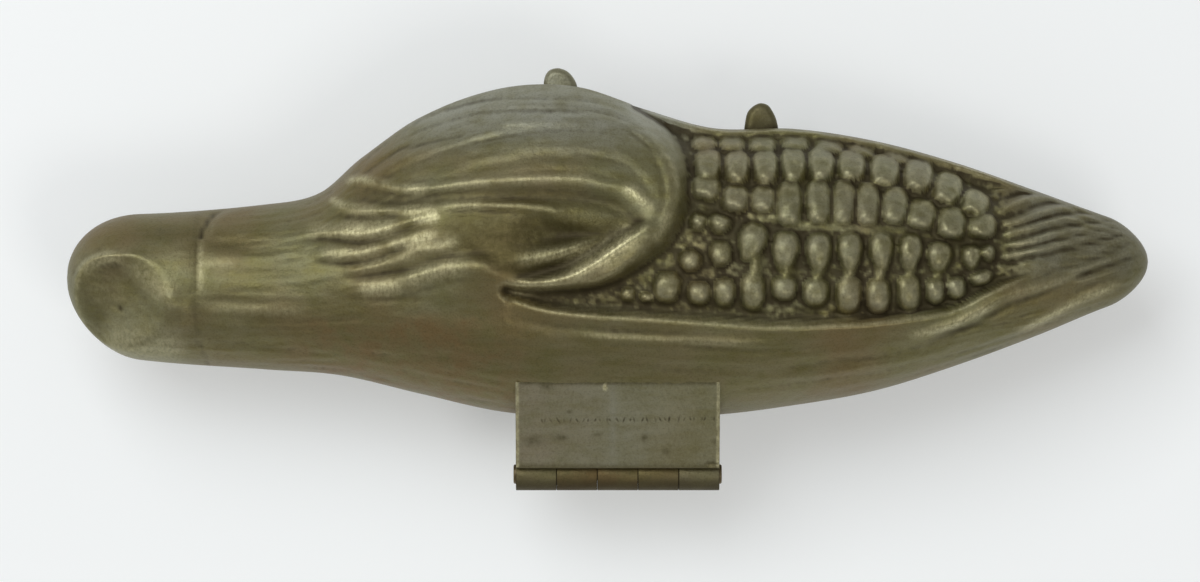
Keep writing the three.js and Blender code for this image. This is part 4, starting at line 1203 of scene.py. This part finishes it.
def add_span(tree, value, low, high, first=0.0, last=1.0):
    """Map a value from one span to another, and return it."""
    node = add_node(tree, "ShaderNodeMapRange",
                    {"Value": value, "From Min": low, "From Max": high, "To Min": first, "To Max": last})
    return node.outputs["Result"]


def add_math(tree, operation, *values):
    """Combine values and return the result."""
    return add_node(tree, "ShaderNodeMath", dict(enumerate(values)), operation=operation).outputs["Value"]


def add_product(tree, first, second):
    """Multiply two values and return the result."""
    return add_math(tree, "MULTIPLY", first, second)


def add_weighted(tree, *terms):
    """Add up values times their weights, and return the sum."""
    total = 0.0
    for value, weight in terms:
        total = add_math(tree, "MULTIPLY_ADD", value, weight, total)
    return total


def add_mix(tree, share, first, second):
    """Mix two colours and return the result."""
    node = add_node(tree, "ShaderNodeMix", data_type="RGBA")
    link_or_set(tree, node.inputs[0], share)
    link_or_set(tree, node.inputs[6], first)
    link_or_set(tree, node.inputs[7], second)
    return node.outputs[2]


def add_mark(tree, mark_name):
    """Read one of the marks on a casting's points."""
    return add_node(tree, "ShaderNodeAttribute", attribute_name=mark_name).outputs["Fac"]


def opaque(colour):
    """Return a colour with full alpha."""
    return (*colour, 1.0)


def add_stretched(tree, place, stretch):
    """Return a place stretched along the axes, for streaks and hatching."""
    node = add_node(tree, "ShaderNodeVectorMath", {0: place, 1: stretch}, operation="MULTIPLY")
    return node.outputs["Vector"]


def empty_material(name):
    """Return a new material, its emptied node tree and its place on the object."""
    material = bpy.data.materials.new(name)
    material.use_nodes = True
    tree = material.node_tree
    tree.nodes.clear()
    return material, tree, add_node(tree, "ShaderNodeTexCoord").outputs["Object"]


def add_metal(tree, looks, bumps, strength, distance):
    """Add a bumpy metal surface to a material."""
    bump = add_node(tree, "ShaderNodeBump", {"Strength": strength, "Distance": distance, "Height": bumps})
    shader = add_node(tree, "ShaderNodeBsdfPrincipled", {"Normal": bump.outputs["Normal"], **looks})
    add_node(tree, "ShaderNodeOutputMaterial", {"Surface": shader.outputs["BSDF"]})


def pewter_material(name, settings, dulling, browning):
    """Return aged pewter: grey or gold where rubbed and where sheen and highlights are painted, olive and
    brown on open skin, dark in the hollows and where shade is painted.
    """
    material, tree, place = empty_material(name)
    broad = add_noise(tree, place, *BROAD_NOISE)
    patchy = add_noise(tree, place, *PATCHY_NOISE)
    fine = add_noise(tree, place, *FINE_NOISE)
    grain = add_noise(tree, place, *GRAIN_NOISE)
    streaks = add_noise(tree, add_stretched(tree, place, STREAK_STRETCH), *STREAK_NOISE)
    hatching = add_noise(tree, add_stretched(tree, place, HATCH_STRETCH), *HATCH_NOISE)
    tone = add_weighted(tree, (patchy, 0.6), (streaks, 0.4))
    grey_and_sheen_mark = add_mark(tree, "grey_rub")
    wear = add_mark(tree, "wear")

    skin = add_mix(tree, add_span(tree, tone, *OLIVE_SPAN), opaque(settings.olive), opaque(settings.pewter))
    brown = add_product(tree, add_span(tree, broad, *BROWN_SPAN), browning)
    brown = add_product(tree, brown, add_span(tree, grey_and_sheen_mark, *UNBROWNED_SPAN))
    stained = add_product(tree, add_mark(tree, "brown_patina"), add_span(tree, patchy, *STAIN_SPAN))
    skin = add_mix(tree, add_math(tree, "MAXIMUM", brown, stained), skin, opaque(settings.brown))
    skin = add_mix(tree, add_span(tree, fine, *GREEN_SPAN), skin, opaque(settings.green))
    # Grey rubbing and the painted grey sheen.
    grey = add_product(tree, grey_and_sheen_mark, add_span(tree, tone, *GREY_SPAN))
    skin = add_mix(tree, grey, skin, opaque(settings.grey))
    # Dark patina, and painted shade in the recesses.
    dark = add_product(tree, add_mark(tree, "dark_patina"), add_span(tree, fine, *DARK_SPAN))
    skin = add_mix(tree, dark, skin, opaque(settings.patina))
    skin = add_mix(tree, add_span(tree, grain, *GRAIN_SPAN), skin, opaque(settings.grime))

    # Rubbed crests, and the painted highlights that the bright mark carries.
    rubbed = add_math(tree, "MAXIMUM", add_span(tree, wear, *CREST_SPAN), add_mark(tree, "bright_rub"))
    crest = add_product(tree, rubbed, add_span(tree, hatching, *HATCH_SPAN))
    bared = add_mix(tree, grey_and_sheen_mark, opaque(settings.crest), opaque(settings.grey))
    skin = add_mix(tree, crest, skin, bared)
    grime = add_product(tree, add_span(tree, wear, *GRIME_SPAN), add_span(tree, patchy, *GRIME_PATCH_SPAN))
    grime = add_product(tree, grime, add_span(tree, rubbed, *GRIME_RUBBED_SPAN))
    skin = add_mix(tree, grime, skin, opaque(settings.grime))

    rough = add_span(tree, tone, *ROUGH_SPAN, ROUGH_LEAST + dulling, ROUGH_MOST + dulling)
    rough = add_weighted(tree, (rough, 1.0), (grime, GRIME_ROUGH), (crest, -CREST_SMOOTH))
    bumps = add_weighted(tree, (fine, 0.6), (grain, 0.3), (tone, 0.9))
    looks = {"Base Color": skin, "Roughness": rough, "Metallic": add_span(tree, grime, *METAL_SPAN),
             "IOR": PEWTER_IOR}
    add_metal(tree, looks, bumps, *PEWTER_BUMP)
    return material


def pewter_of(kind, settings):
    """Return the pewter of one kind of piece, made on first use."""
    name, dulling, browning = PEWTERS[kind]
    return bpy.data.materials.get(name) or pewter_material(name, settings, dulling, browning)


def steel_material(name, settings):
    """Return the dull wire of the hinge pin."""
    material, tree, place = empty_material(name)
    spots = add_noise(tree, place, *STEEL_NOISE)
    rust = add_span(tree, spots, *RUST_SPAN)
    colour = add_mix(tree, rust, opaque(settings.steel), opaque(settings.brown))
    looks = {"Base Color": colour, "Roughness": add_span(tree, spots, *STEEL_ROUGH_SPAN),
             "Metallic": STEEL_METAL}
    add_metal(tree, looks, spots, *STEEL_BUMP)
    return material


def colour_setting(name, description, default):
    """Return a colour that a user can change."""
    return FloatVectorProperty(name=name, description=description, subtype="COLOR", size=3, min=0, max=1,
                               default=default)


def number_setting(name, description, default, least, most, **more):
    """Return a number that a user can change."""
    return FloatProperty(name=name, description=description, default=default, min=least, max=most, **more)


def count_setting(name, description, default, least, most):
    """Return a whole number that a user can change."""
    return IntProperty(name=name, description=description, default=default, min=least, max=most)


class MouldSettings(bpy.types.PropertyGroup):
    """Sizes and colours of the mould that a user would change."""

    wall: number_setting("Wall", "Thickness of the castings", 0.0028, 0.002, 0.004, unit="LENGTH",
                         precision=4)
    leaf_rise: number_setting("Leaf rise", "How far the peeled leaf stands over the ear, in mm", 1.7, 0.5, 3)
    hollow_depth: number_setting("Hollow", "Depth of the peeled leaf's hollow, in mm", 1.3, 0.5, 3)
    fold_scale: number_setting("Folds", "Scale of the leaf's folds and ribs", 1.0, 0, 2)
    kernel_scale: number_setting("Kernels", "Scale of the kernels' height", 1.0, 0, 1.5)
    stations: count_setting("Stations", "Steps along a casting", 400, 60, 600)
    outer_rows: count_setting("Outer rows", "Steps over a casting's outside", 212, 20, 240)
    inner_rows: count_setting("Inner rows", "Steps over a casting's inside", 32, 12, 80)
    pewter: colour_setting("Pewter", "Greyer pewter", (0.208, 0.198, 0.108))
    olive: colour_setting("Olive", "Olive patina", (0.158, 0.143, 0.055))
    brown: colour_setting("Brown", "Brown patina", (0.188, 0.126, 0.053))
    green: colour_setting("Green", "Green patina", (0.140, 0.142, 0.070))
    # The crest colour also paints the traced highlights.
    crest: colour_setting("Crest", "Rubbed pewter on the crests", (0.49, 0.450, 0.262))
    # The grime colour also paints shade on the front of the hinge barrel.
    grime: colour_setting("Grime", "Dirt in the hollows", (0.042, 0.031, 0.011))
    # The grey colour also paints the sheen on the bulge and the hinge leaf, and the lit patch on the stalk.
    grey: colour_setting("Grey", "Rubbed grey pewter", (0.33, 0.33, 0.268))
    # The patina colour also paints shade in the leaf's dish, hollow and creases and in the stalk's dish and
    # grooves.
    patina: colour_setting("Patina", "Dark patina in sheltered places", (0.060, 0.048, 0.014))
    steel: colour_setting("Steel", "Hinge pin", (0.14, 0.11, 0.06))


class StageSettings(bpy.types.PropertyGroup):
    """Floor, light and camera."""

    floor: colour_setting("Floor", "Colour of the floor", (0.75, 0.765, 0.77))
    camera_height: number_setting("Camera height", "Camera above the parting plane", 1.2, 0.4, 4,
                                  unit="LENGTH")
    key_power: number_setting("Key light", "Power of the soft light behind the ear", 5.0, 0, 100,
                              unit="POWER")
    side_power: number_setting("Side light", "Power of the soft light beside the stalk", 1.2, 0, 100,
                               unit="POWER")
    front_power: number_setting("Front light", "Power of the small light in front of the tip", 1.6, 0, 100,
                                unit="POWER")
    sky: number_setting("Sky", "Strength of the even light all round", 0.42, 0, 2)


class MOULD_OT_upper_casting(bpy.types.Operator):
    """Model the upper half shell with the peeled leaf, kernels, husk and tip"""

    bl_idname = "mould.upper_casting"
    bl_label = "Upper casting"

    def execute(self, context):
        settings = context.scene.mould
        plan = Plan()
        kernels = kernel_heights(plan)
        relief = carve_upper(plan, kernels, settings)
        soft = plan.blurred(relief, CAVITY_BLUR)
        proud = plan_wear(plan, relief)
        stains = plan_stains(plan, kernels)

        def skin(x, turn, grow):
            return carved_upper(plan, soft if grow < 0 else relief, x, turn, grow)

        def wear_of(points):
            masks = [plan.sample(mask, points[..., 0], points[..., 1]) for mask in (proud, *stains)]
            return np.stack(masks, axis=-1)

        piece = casting_piece("upper_shell", settings, skin, wear_of)
        for _, x in PEG_PLACES:
            cut_socket(piece, x)
        pewter = pewter_of("casting", settings)
        finish_piece(piece, "upper_half", ["upper_casting"], pewter, CASTING_SMOOTH)
        return {"FINISHED"}


class MOULD_OT_lower_casting(bpy.types.Operator):
    """Model the lower half shell with its long husk leaves and the flat it stands on"""

    bl_idname = "mould.lower_casting"
    bl_label = "Lower casting"

    def execute(self, context):
        settings = context.scene.mould

        def wear_of(points):
            height = points[..., 2]
            before = np.roll(height, LOWER_WEAR_ROWS, axis=1)
            after = np.roll(height, -LOWER_WEAR_ROWS, axis=1)
            wear = np.clip(((before + after) / 2 - height) / LOWER_WEAR_FULL, -1, 1) * LOWER_WEAR
            none = np.zeros(wear.shape)
            return np.stack([wear, none, none + LOWER_BROWN, none, none], axis=-1)

        piece = casting_piece("lower_shell", settings, carved_lower, wear_of)
        pewter = pewter_of("casting", settings)
        finish_piece(piece, "lower_half", ["lower_casting"], pewter, CASTING_SMOOTH)
        return {"FINISHED"}


def skin_height(side, x, y):
    """Return how far a half's smooth skin stands from the parting plane, in front of its crest."""
    reach = np.clip((CREST(x) - y) / (CREST(x) - FRONT(x)), 0, 1)
    return PARTING_GAP / 2 + RISE[side](x) * np.sqrt(1 - reach ** 2)


def hinge_leaf_section():
    """Return the leaf's closed section, face first: y, a fixed height, and a share of the root's height."""
    clear = KNUCKLE_RADIUS + HINGE_LEAF_CLEARANCE
    lip, top, root = HINGE_LEAF_LIP_Y, HINGE_LEAF_LIP_TOP, HINGE_LEAF_ROOT_Y
    floor = PARTING_GAP / 2
    share = np.linspace(0, 1, HINGE_LEAF_ROWS)
    start = lip + HINGE_LEAF_START
    face = np.stack([start + (root - start) * share, top * (1 - share), share], axis=1)
    back = [(root + past, under, 1) for past, under in HINGE_LEAF_BACK] + [(HINGE_LEAF_FOOT_Y, floor, 0)]
    first_turn = math.acos(floor / clear)
    last_turn = math.asin((lip - HINGE_Y) / clear)
    turns = np.linspace(first_turn, last_turn, HINGE_LEAF_COVE_STEPS)
    cove = [(HINGE_Y + clear * math.sin(turn), clear * math.cos(turn), 0) for turn in turns]
    nose = [(lip, top - 0.6, 0), (lip + 0.08, top - 0.2, 0)]
    return np.vstack([face, back, cove, nose, face[:1]])


def leaf_nicks(x, y):
    """Return an uneven row of short nicks, 1 at their deepest."""
    chance = np.random.default_rng(NICK_SEED)
    first, last = on_ear(LEAF_NICKS)
    nicks = np.zeros(x.shape)
    for place in np.linspace(0, 1, NICK_COUNT):
        middle = first * (1 - place) + last * place
        shift, lean, long, deep = chance.uniform(NICK_LEAST, NICK_MOST)
        off = (x - middle[0] - shift) + lean * (y - middle[1])
        nicks = np.maximum(nicks, deep * np.exp(-(off / NICK_HALF) ** 2 - ((y - middle[1]) / long) ** 2))
    return nicks


def hinge_leaf_wear(x, y, side):
    """Return the height and marks of a leaf's face: burrs with a painted highlight, a chip, smudges, nicks,
    a solder bead, a painted sheen and a painted shadow line at the lip.
    """
    from_side = HINGE_LEAF_WIDTH / 2 - np.abs(x - HINGE_CENTRE_X)
    wavy = 0.7 + 0.2 * np.sin(2.9 * y + np.sign(x)) + 0.1 * np.sin(7.3 * y)
    burr = np.exp(-((from_side - BURR_INSET) / BURR_HALF) ** 2) * wavy
    nicks = np.zeros(x.shape)
    bead = np.zeros(x.shape)
    if side == UPPER:
        nicks = leaf_nicks(x, y)
        bead = np.clip(1.3 * spot(x, y, LEAF_BEAD, 0.34, 0.46) - 0.3, 0, 1)
    height = BURR_RISE * burr + LEAF_UNEVEN * np.sin(1.1 * x + 0.4 * y) * np.sin(0.9 * y)
    height -= CHIP_DEPTH * spot(x, y, LEAF_CHIP, 0.9, 0.4)
    height += SOLDER_RISE * np.sqrt(bead) - NICK_DEPTH * nicks
    # The dark line at the root is the solder seam; the one at the lip is painted shadow where the leaf meets
    # the barrel.
    dark = np.exp(-((y - HINGE_LEAF_ROOT_Y) / 0.3) ** 2) + np.exp(-((y - HINGE_LEAF_LIP_Y) / 0.45) ** 2)
    for px, py, half_long, half_wide in LEAF_SMUDGES:
        dark += SMUDGE_DARK * spot(x, y, (px, py), half_long * PIXEL, half_wide * PIXEL)
    dark += spot(x, y, LEAF_CHIP, 1.1, 0.5)
    brown = LEAF_BROWN * ease(*LEAF_BROWN_X, x)
    # Grey tone, with a painted sheen across the leaf.
    grey = LEAF_GREY + SHEEN_GREY * spot(x, y, LEAF_SHEEN, 0.45, 6.0)
    grey -= LEAF_GREY_LOSS * ease(*LEAF_GREY_LOSS_X, x)
    grey *= np.clip(1 - burr - bead, 0, 1)
    # The burrs are painted bright as a highlight as well as rubbed.
    rubbed = LEAF_RUB + BURR_RUB_HIGHLIGHT * burr + SOLDER_RUB * bead
    marks = [-NICK_GRIME * nicks, np.clip(dark, 0, LEAF_DARK_MOST), brown, grey, rubbed]
    return height, np.stack(marks, axis=-1)


class MOULD_OT_hinge_leaves(bpy.types.Operator):
    """Model the two hinge leaves, burred along their sides and run into the castings"""

    bl_idname = "mould.hinge_leaves"
    bl_label = "Hinge leaves"

    def execute(self, context):
        settings = context.scene.mould
        section = hinge_leaf_section()
        rows = len(section) - 1
        for half, side in [("upper", UPPER), ("lower", LOWER)]:
            piece = start_primitive(f"{half}_leaf", bpy.ops.mesh.primitive_grid_add, size=1,
                                    x_subdivisions=HINGE_LEAF_STATIONS, y_subdivisions=rows)
            column, row = grid_places(piece, HINGE_LEAF_STATIONS, rows)
            x = HINGE_CENTRE_X + HINGE_LEAF_WIDTH * (column / HINGE_LEAF_STATIONS - 0.5)
            y, fixed, share = section[row].T
            on_face = (row < HINGE_LEAF_ROWS) | (row == rows)
            worn, marks = hinge_leaf_wear(x, y, side)
            root_top = skin_height(side, x, HINGE_LEAF_ROOT_Y) + HINGE_LEAF_STAND
            z = fixed + share * root_top + np.where(on_face, worn, 0)
            points = np.stack([x, y, PARTING_HEIGHT + side * z], axis=1)
            piece.data.vertices.foreach_set("co", to_metres(points))
            set_marks(piece, np.where(on_face[:, None], marks, HIDDEN_LEAF_MARKS))
            close_mesh(piece, CASTING_MERGE)
            edit_all(piece)
            bpy.ops.mesh.fill_holes(sides=0)
            bpy.ops.mesh.normals_make_consistent(inside=False)
            bpy.ops.object.mode_set(mode="OBJECT")
            bevel(piece, HINGE_LEAF_BEVEL, 2, 65)
            pewter = pewter_of("leaf", settings)
            finish_piece(piece, f"{half}_half", [f"{half}_hinge_leaf"], pewter)
        return {"FINISHED"}


class MOULD_OT_knuckles(bpy.types.Operator):
    """Model one hinge knuckle as a bored tube with worn ends, and copy it along the barrel"""

    bl_idname = "mould.knuckles"
    bl_label = "Hinge knuckles"

    def execute(self, context):
        settings = context.scene.mould
        first = start_primitive("knuckle_1", bpy.ops.mesh.primitive_cylinder_add, vertices=KNUCKLE_SIDES,
                                radius=KNUCKLE_RADIUS * MM, depth=KNUCKLE_LENGTH * MM,
                                end_fill_type="NOTHING", rotation=(0, math.pi / 2, 0))
        settle(first)
        apply_modifier(first, "SOLIDIFY", thickness=(KNUCKLE_RADIUS - BORE_RADIUS) * MM, offset=-1,
                       use_even_offset=True)
        close_mesh(first, SMALL_MERGE)
        bevel(first, KNUCKLE_BEVEL, 3)
        knuckles = [first]
        for number in range(2, KNUCKLE_COUNT + 1):
            piece = first.copy()
            piece.data = first.data.copy()
            piece.name = f"knuckle_{number}"
            context.collection.objects.link(piece)
            knuckles.append(piece)
        for number, piece in enumerate(knuckles, 1):
            centre = HINGE_CENTRE_X + (number - (KNUCKLE_COUNT + 1) / 2) * KNUCKLE_PITCH
            x, y, z = points_of(piece).T
            joint = np.exp((np.abs(x) - KNUCKLE_LENGTH / 2) / JOINT_REACH)
            # Painted shade on the barrel's front top, written into the wear mark as grime.
            behind = ease(*BARREL_SHADE_Y, y) * ease(*BARREL_SHADE_Z, z)
            stains = [np.full(x.shape, share) for share in KNUCKLE_STAINS[number - 1]]
            stains[0] = np.maximum(stains[0], joint)
            marks = [-JOINT_GRIME * joint - BARREL_SHADE * behind, *stains, np.zeros(x.shape)]
            set_marks(piece, np.stack(marks, axis=-1))
            piece.location = (centre * MM, HINGE_Y * MM, PARTING_HEIGHT * MM)
            half = "upper" if number % 2 else "lower"
            pewter = pewter_of("knuckle", settings)
            finish_piece(piece, f"{half}_half", [f"{half}_knuckle_{number}"], pewter)
        return {"FINISHED"}


class MOULD_OT_pin(bpy.types.Operator):
    """Model the hinge pin with its peened heads"""

    bl_idname = "mould.pin"
    bl_label = "Hinge pin"

    def execute(self, context):
        settings = context.scene.mould
        piece = start_primitive("pin", bpy.ops.mesh.primitive_cylinder_add, vertices=PIN_SIDES,
                                radius=PIN_RADIUS * MM, depth=HINGE_WIDTH * MM, rotation=(0, math.pi / 2, 0))
        settle(piece)
        swell = PIN_HEAD_RADIUS / PIN_RADIUS
        for way in (-1, 1):
            bpy.ops.object.mode_set(mode="EDIT")
            bpy.ops.mesh.select_all(action="DESELECT")
            bpy.ops.object.mode_set(mode="OBJECT")
            for face in piece.data.polygons:
                outermost = face.center.x * way > 0.45 * HINGE_WIDTH * MM
                face.select = outermost and face.normal.x * way > 0.9
            bpy.ops.object.mode_set(mode="EDIT")
            bpy.ops.mesh.select_mode(type="FACE")
            bpy.ops.mesh.extrude_region_move(TRANSFORM_OT_translate={"value": (0, 0, 0)})
            bpy.ops.transform.resize(value=(1, swell, swell))
            outwards = (way * PIN_HEAD_THICK * MM, 0, 0)
            bpy.ops.mesh.extrude_region_move(TRANSFORM_OT_translate={"value": outwards})
            bpy.ops.mesh.bevel(offset=PIN_BEVEL * MM, segments=4, affect="EDGES")
            bpy.ops.object.mode_set(mode="OBJECT")
        close_mesh(piece, SMALL_MERGE)
        piece.location = (HINGE_CENTRE_X * MM, HINGE_Y * MM, PARTING_HEIGHT * MM)
        steel = steel_material("dull_pin_steel", settings)
        finish_piece(piece, "lower_half", ["hinge_pin"], steel)
        return {"FINISHED"}


class MOULD_OT_lugs(bpy.types.Operator):
    """Model the two thumb lugs as rounded tongues on the rim"""

    bl_idname = "mould.lugs"
    bl_label = "Thumb lugs"

    def execute(self, context):
        settings = context.scene.mould
        for half, side, edge in [("upper", UPPER, UPPER_LUG_EDGE), ("lower", LOWER, LOWER_LUG_EDGE)]:
            outline = curve_through(on_ear(edge), 5)
            root = float(REAR(outline[:, 0].mean())) - LUG_ROOT
            outline = np.vstack([outline, (outline[-1][0], root), (outline[0][0], root)])
            low = PARTING_HEIGHT + side * LUG_LIFT
            piece = start_primitive(f"{half}_lug", bpy.ops.mesh.primitive_circle_add, vertices=len(outline),
                                    fill_type="NGON", radius=MM)
            piece.data.vertices.foreach_set("co", to_metres([(x, y, low) for x, y in outline]))
            edit_all(piece)
            bpy.ops.mesh.extrude_region_move(TRANSFORM_OT_translate={"value": (0, 0, side * LUG_THICK * MM)})
            bpy.ops.object.mode_set(mode="OBJECT")
            close_mesh(piece, SMALL_MERGE)
            bevel(piece, LUG_BEVEL, 6)
            x, y, z = points_of(piece).T
            rise = np.abs(z - low) / LUG_THICK
            seat = np.exp(-np.clip(y - REAR(x), 0, None) / 0.5)
            stains = [np.full(x.shape, share) for share in LUG_STAINS[side]]
            marks = [0.5 * ease(0.7, 1.0, rise) - seat, *stains, np.zeros(x.shape)]
            set_marks(piece, np.stack(marks, axis=-1))
            pewter = pewter_of("leaf", settings)
            finish_piece(piece, f"{half}_half", [f"{half}_thumb_lug"], pewter)
        return {"FINISHED"}


class MOULD_OT_pegs(bpy.types.Operator):
    """Model the two register pegs in the lower rim"""

    bl_idname = "mould.pegs"
    bl_label = "Register pegs"

    def execute(self, context):
        settings = context.scene.mould
        for side, x in PEG_PLACES:
            piece = start_primitive(f"peg_{side}", bpy.ops.mesh.primitive_cylinder_add, vertices=PEG_SIDES,
                                    radius=PEG_RADIUS * MM, depth=(PEG_SET + PEG_STAND) * MM)
            bevel(piece, PEG_BEVEL, 3)
            z = PARTING_HEIGHT + (PEG_STAND - PEG_SET) / 2
            piece.location = (x * MM, peg_y(x) * MM, z * MM)
            pewter = pewter_of("leaf", settings)
            finish_piece(piece, "lower_half", [f"register_peg_{side}"], pewter)
        return {"FINISHED"}


def floor_material(settings):
    """Return the pale floor, a little brighter to the camera and in reflections than its lit colour."""
    material, tree, place = empty_material("pale_floor")
    path = add_node(tree, "ShaderNodeLightPath")
    seen = add_math(tree, "MAXIMUM", path.outputs["Is Camera Ray"], path.outputs["Is Glossy Ray"])
    seen = add_math(tree, "MAXIMUM", seen, path.outputs["Is Transmission Ray"])
    paper = add_noise(tree, place, *FLOOR_NOISE)
    shade = tuple(FLOOR_SHADE * part for part in settings.floor)
    colour = add_mix(tree, add_span(tree, paper, *FLOOR_SPAN), opaque(shade), opaque(settings.floor))
    lit = add_node(tree, "ShaderNodeBsdfDiffuse", {"Color": colour})
    glow = add_node(tree, "ShaderNodeEmission",
                    {"Color": colour, "Strength": add_product(tree, seen, FLOOR_GLOW)})
    both = add_node(tree, "ShaderNodeAddShader", {0: lit.outputs["BSDF"], 1: glow.outputs["Emission"]})
    add_node(tree, "ShaderNodeOutputMaterial", {"Surface": both.outputs["Shader"]})
    return material


def add_soft_light(name, place, aim, size, power, colour):
    """Add a square soft light that faces a point."""
    lamp = bpy.data.lights.new(name, "AREA")
    lamp.shape = "SQUARE"
    lamp.size = size
    lamp.energy = power
    lamp.color = colour
    light = bpy.data.objects.new(name, lamp)
    bpy.context.collection.objects.link(light)
    light.location = place
    way = np.array(aim) - np.array(place)
    yaw = math.atan2(way[1], way[0])
    pitch = math.atan2(math.hypot(way[0], way[1]), -way[2])
    light.rotation_euler = (pitch, 0, yaw - math.pi / 2)


class MOULD_OT_stage(bpy.types.Operator):
    """Set the floor, the soft lights and the camera straight above the mould"""

    bl_idname = "mould.stage"
    bl_label = "Stage"

    def execute(self, context):
        settings = context.scene.mould_stage
        floor = start_primitive("floor", bpy.ops.mesh.primitive_plane_add, size=FLOOR_SIZE)
        floor.data.materials.append(floor_material(settings))
        world = context.scene.world or bpy.data.worlds.new("World")
        context.scene.world = world
        world.use_nodes = True
        sky = world.node_tree.nodes["Background"]
        sky.inputs["Color"].default_value = opaque(SKY_COLOUR)
        sky.inputs["Strength"].default_value = settings.sky
        for name, place, size, power, colour in SOFT_LIGHTS:
            add_soft_light(name, place, LIGHT_AIM, size, getattr(settings, power), colour)
        lens = bpy.data.cameras.new("camera")
        camera = bpy.data.objects.new("camera", lens)
        context.collection.objects.link(camera)
        centre = on_ear([PHOTO_CENTRE])[0]
        camera.location = (centre[0] * MM, centre[1] * MM, PARTING_HEIGHT * MM + settings.camera_height)
        camera.rotation_euler = (0, 0, 0)
        lens.sensor_width = SENSOR_WIDTH
        lens.lens = lens.sensor_width * settings.camera_height / (PHOTO_WIDTH * PIXEL * MM)
        lens.clip_end = CAMERA_CLIP_END
        context.scene.camera = camera
        context.scene.view_settings.view_transform = "Standard"
        return {"FINISHED"}


class MOULD_PT_sidebar(bpy.types.Panel):
    """List the mould's pieces and settings"""

    bl_label = "Ear of maize mould"
    bl_idname = "MOULD_PT_sidebar"
    bl_space_type = "VIEW_3D"
    bl_region_type = "UI"
    bl_category = "Mould"

    def draw(self, context):
        for operator in OPERATORS:
            self.layout.operator(operator.bl_idname)
        for group in (context.scene.mould, context.scene.mould_stage):
            for name in group.bl_rna.properties.keys():
                if name not in {"rna_type", "name"}:
                    self.layout.prop(group, name)


OPERATORS = (MOULD_OT_upper_casting, MOULD_OT_lower_casting, MOULD_OT_hinge_leaves, MOULD_OT_knuckles,
             MOULD_OT_pin, MOULD_OT_lugs, MOULD_OT_pegs, MOULD_OT_stage)
CLASSES = (MouldSettings, StageSettings, *OPERATORS, MOULD_PT_sidebar)


def register():
    """Register the settings, operators and panel."""
    for kind in CLASSES:
        bpy.utils.register_class(kind)
    bpy.types.Scene.mould = PointerProperty(type=MouldSettings)
    bpy.types.Scene.mould_stage = PointerProperty(type=StageSettings)


def unregister():
    """Take the settings, operators and panel away again."""
    del bpy.types.Scene.mould_stage
    del bpy.types.Scene.mould
    for kind in reversed(CLASSES):
        bpy.utils.unregister_class(kind)


def main():
    """Build every piece."""
    register()
    bpy.ops.mould.upper_casting()
    bpy.ops.mould.lower_casting()
    bpy.ops.mould.hinge_leaves()
    bpy.ops.mould.knuckles()
    bpy.ops.mould.pin()
    bpy.ops.mould.lugs()
    bpy.ops.mould.pegs()
    bpy.ops.mould.stage()


if __name__ == "__main__":
    main()
